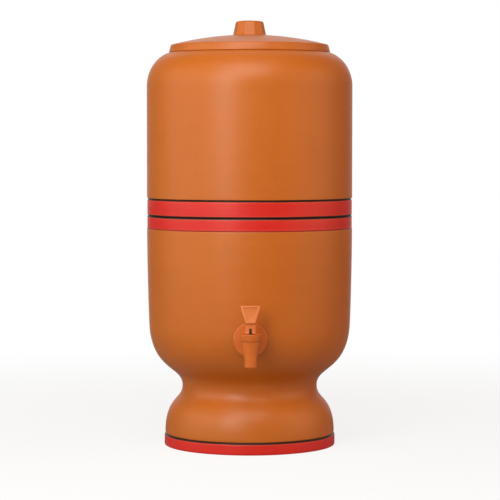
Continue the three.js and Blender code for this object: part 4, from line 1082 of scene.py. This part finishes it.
# The tap's plastic made paler: a painted highlight standing in for the light that falls on the paddle.
lever_plastic = moulded("lever_plastic", colour(208, 109, 46), colour(222, 126, 60), 0.4)
foot_z = span("tap_lever")[0].z
fork_gap, prong_width, paddle_z, paddle_height = 3.4, 4.4, foot_z + 12.2, 21.2
side_view = rounded_loop([
    (-5.5, foot_z, 0.4), (5.5, foot_z, 0.7), (5.5, pin_z, 2.4), (2.4, foot_z + 8.7, 1.6),
    (2.2, paddle_z + 2.2, 0.1), (-2.2, paddle_z + 2.2, 0.1), (-4.9, paddle_z + 0.4, 0.1),
    (-2.7, paddle_z - 1, 0.8), (-2.7, foot_z + 2.2, 0.6), (-5.4, foot_z + 1.2, 0.4),
])
fork = placed(slab("fork", side_view, fork_gap + 2 * prong_width, lever_plastic, 0.5), across_x)
half_gap, gap_bottom, gap_top = fork_gap / 2, foot_z - 9, pin_z + tang_rise + 0.5
gap = rounded_loop([
    (-half_gap, gap_bottom, 0.3), (half_gap, gap_bottom, 0.3), (half_gap, gap_top, 0.3),
    (-half_gap, gap_top, 0.3),
])
gap = slab("gap", gap, 16, lever_plastic, 0)
fork = cut(fork, gap, placed(pin_hole(lever_pin_radius, lever_plastic), moved(z=pin_z)))


def paddle_outline(inset, round_top, round_bottom):
    """The paddle's outline seen from the front, taken in all round by inset."""
    bottom_half, top_half = 5.9, 12.1
    flare = (top_half - bottom_half) / paddle_height
    across = inset * math.hypot(1, flare)
    low, high = inset, paddle_height - inset
    low_half, high_half = bottom_half + flare * low - across, bottom_half + flare * high - across
    return rounded_loop([
        (-low_half, low, round_bottom), (low_half, low, round_bottom), (high_half, high, round_top),
        (-high_half, high, round_top),
    ])


paddle_thickness, paddle_border, foot_swell, lean = 4.6, 2.2, 1.7, math.radians(-7)
paddle = slab("tap_lever_paddle", paddle_outline(0, 0.9, 0.7), paddle_thickness, lever_plastic, 0.45)
recess = slab("recess", paddle_outline(paddle_border, 0.7, 0.5), 1.8, lever_plastic, 0.2)
paddle = cut(paddle, placed(recess, moved(y=-paddle_thickness / 2)))
for vertex in paddle.data.vertices:
    if vertex.co.y < 0:
        vertex.co.y -= foot_swell * MM * max(0, 1 - vertex.co.z / (paddle_height * MM))
placed(paddle, Matrix.Rotation(lean, 4, "X"), moved(0, -1.1, paddle_z))
dress(placed(joined(paddle, fork), moved(y=barrel_y)), "lever", "tap_plastic", "tap_lever")
pin("lever_pin", "tap_lever_pin", lever_pin_radius, "lever")


# The studio: a pale floor and a sky that are white for the camera and glass, and for a sheen behind the
# object. A faint warm light comes from all round, and soft lamps stand at the front left, high in front
# and at each side.


def sight(graph, place):
    """1 for rays from the camera or a glass, and from a sheen where they meet what stands behind the object
    in the photograph. 0 for the light that falls on things."""
    x, y, _ = graph.parts(place)
    behind = (y / (x * x + y * y).math("SQRT")).past(0.9, 0.08)
    path = graph.add("ShaderNodeLightPath")
    seen = path + path.out("Is Transmission Ray") + path.out("Is Glossy Ray") * behind
    return seen.math("MINIMUM", 1.0)


floor = new_object("floor", [(-5, -5, 0), (5, -5, 0), (5, 5, 0), (-5, 5, 0)], (), [(0, 1, 2, 3)])
paper = Finish("floor_paper")
x, y, _ = paper.parts(paper.place)
far = (x * x + y * y).math("SQRT").past(0.85, 0.5)
fibres = paper.noise(700, 3) * 0.01
card = paper.add("ShaderNodeBsdfDiffuse", None, {0: (0.42, 0.42, 0.42, 1)})
lit = paper.add("ShaderNodeBsdfDiffuse", None, {0: (0.93, 0.93, 0.93, 1)})
white = paper.add("ShaderNodeEmission", None, {0: (1, 1, 1, 1), 1: 1.0})
seen_floor = paper.add("ShaderNodeMixShader", None, {0: 0.82 + fibres + far * 0.18, 1: lit, 2: white})
sockets = {0: sight(paper, paper.place), 1: card, 2: seen_floor}
paper.add("ShaderNodeOutputMaterial", None, {0: paper.add("ShaderNodeMixShader", None, sockets)})
floor.data.materials.append(paper.material)
floor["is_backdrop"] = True

world = bpy.data.worlds.new("studio")
bpy.context.scene.world = world
world.use_nodes = True
world.node_tree.nodes.clear()
sky = Graph(world.node_tree)
seen = sight(sky, sky.add("ShaderNodeTexCoord").out("Generated"))
warmth = (0.27, 0.23, 0.19)
sockets = {i: level + seen * (1 - level) for i, level in enumerate(warmth)}
shade = sky.add("ShaderNodeCombineColor", None, sockets)
backdrop = sky.add("ShaderNodeBackground", None, {0: shade, 1: 1.0})
sky.add("ShaderNodeOutputWorld", None, {0: backdrop})


def lamp(name, azimuth, elevation, distance, width, height, power, tint=(1, 1, 1)):
    """A soft lamp that faces the object's middle from an azimuth, 0 at the front and 90 at the right."""
    light = bpy.data.lights.new(name, "AREA")
    light.shape, light.size, light.size_y, light.energy = "RECTANGLE", width, height, power
    light.color = tint
    shape = bpy.data.objects.new(name, light)
    bpy.context.scene.collection.objects.link(shape)
    around, above = math.radians(azimuth), math.radians(elevation)
    way = Vector((math.sin(around) * math.cos(above), -math.cos(around) * math.cos(above), math.sin(above)))
    half_way_up = 0.28
    shape.location = Vector((0, axis_y * MM, half_way_up)) + way * distance
    shape.rotation_euler = way.to_track_quat("Z", "Y").to_euler()


lamp("key", -27, 16, 1.7, 0.65, 0.8, 10, (1, 0.98, 0.88))
lamp("high", -6, 46, 1.6, 1.15, 0.9, 11.7)
lamp("left_fill", -76, 15, 2.2, 2.2, 1.8, 15, (1, 0.95, 0.85))
lamp("right_fill", 70, 15, 2.2, 2.4, 1.8, 16, (1, 0.7, 0.5))


# The camera: as far off as in the photograph, about 2.7 m from the vessels' axis, 0.39 m above the foot
# and tipped down by 3 degrees.

lens = bpy.data.cameras.new("camera")
lens.lens, lens.sensor_width = 151.2, 36
camera = bpy.data.objects.new("camera", lens)
bpy.context.scene.collection.objects.link(camera)
bpy.context.scene.camera = camera
away, height, aside, tip, yaw = 2663.4, 385.73, math.radians(-0.4), math.radians(2.986), math.radians(0.411)
camera.location = Vector((away * math.sin(aside), axis_y - away * math.cos(aside), height)) * MM
camera.rotation_euler = (math.pi / 2 - tip, 0, -yaw)
bpy.context.scene.view_settings.view_transform = "Standard"

low, high = cad_bounds
visual_low, visual_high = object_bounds()
{"cad": [list(low), list(high)], "visual": [list(visual_low), list(visual_high)]}
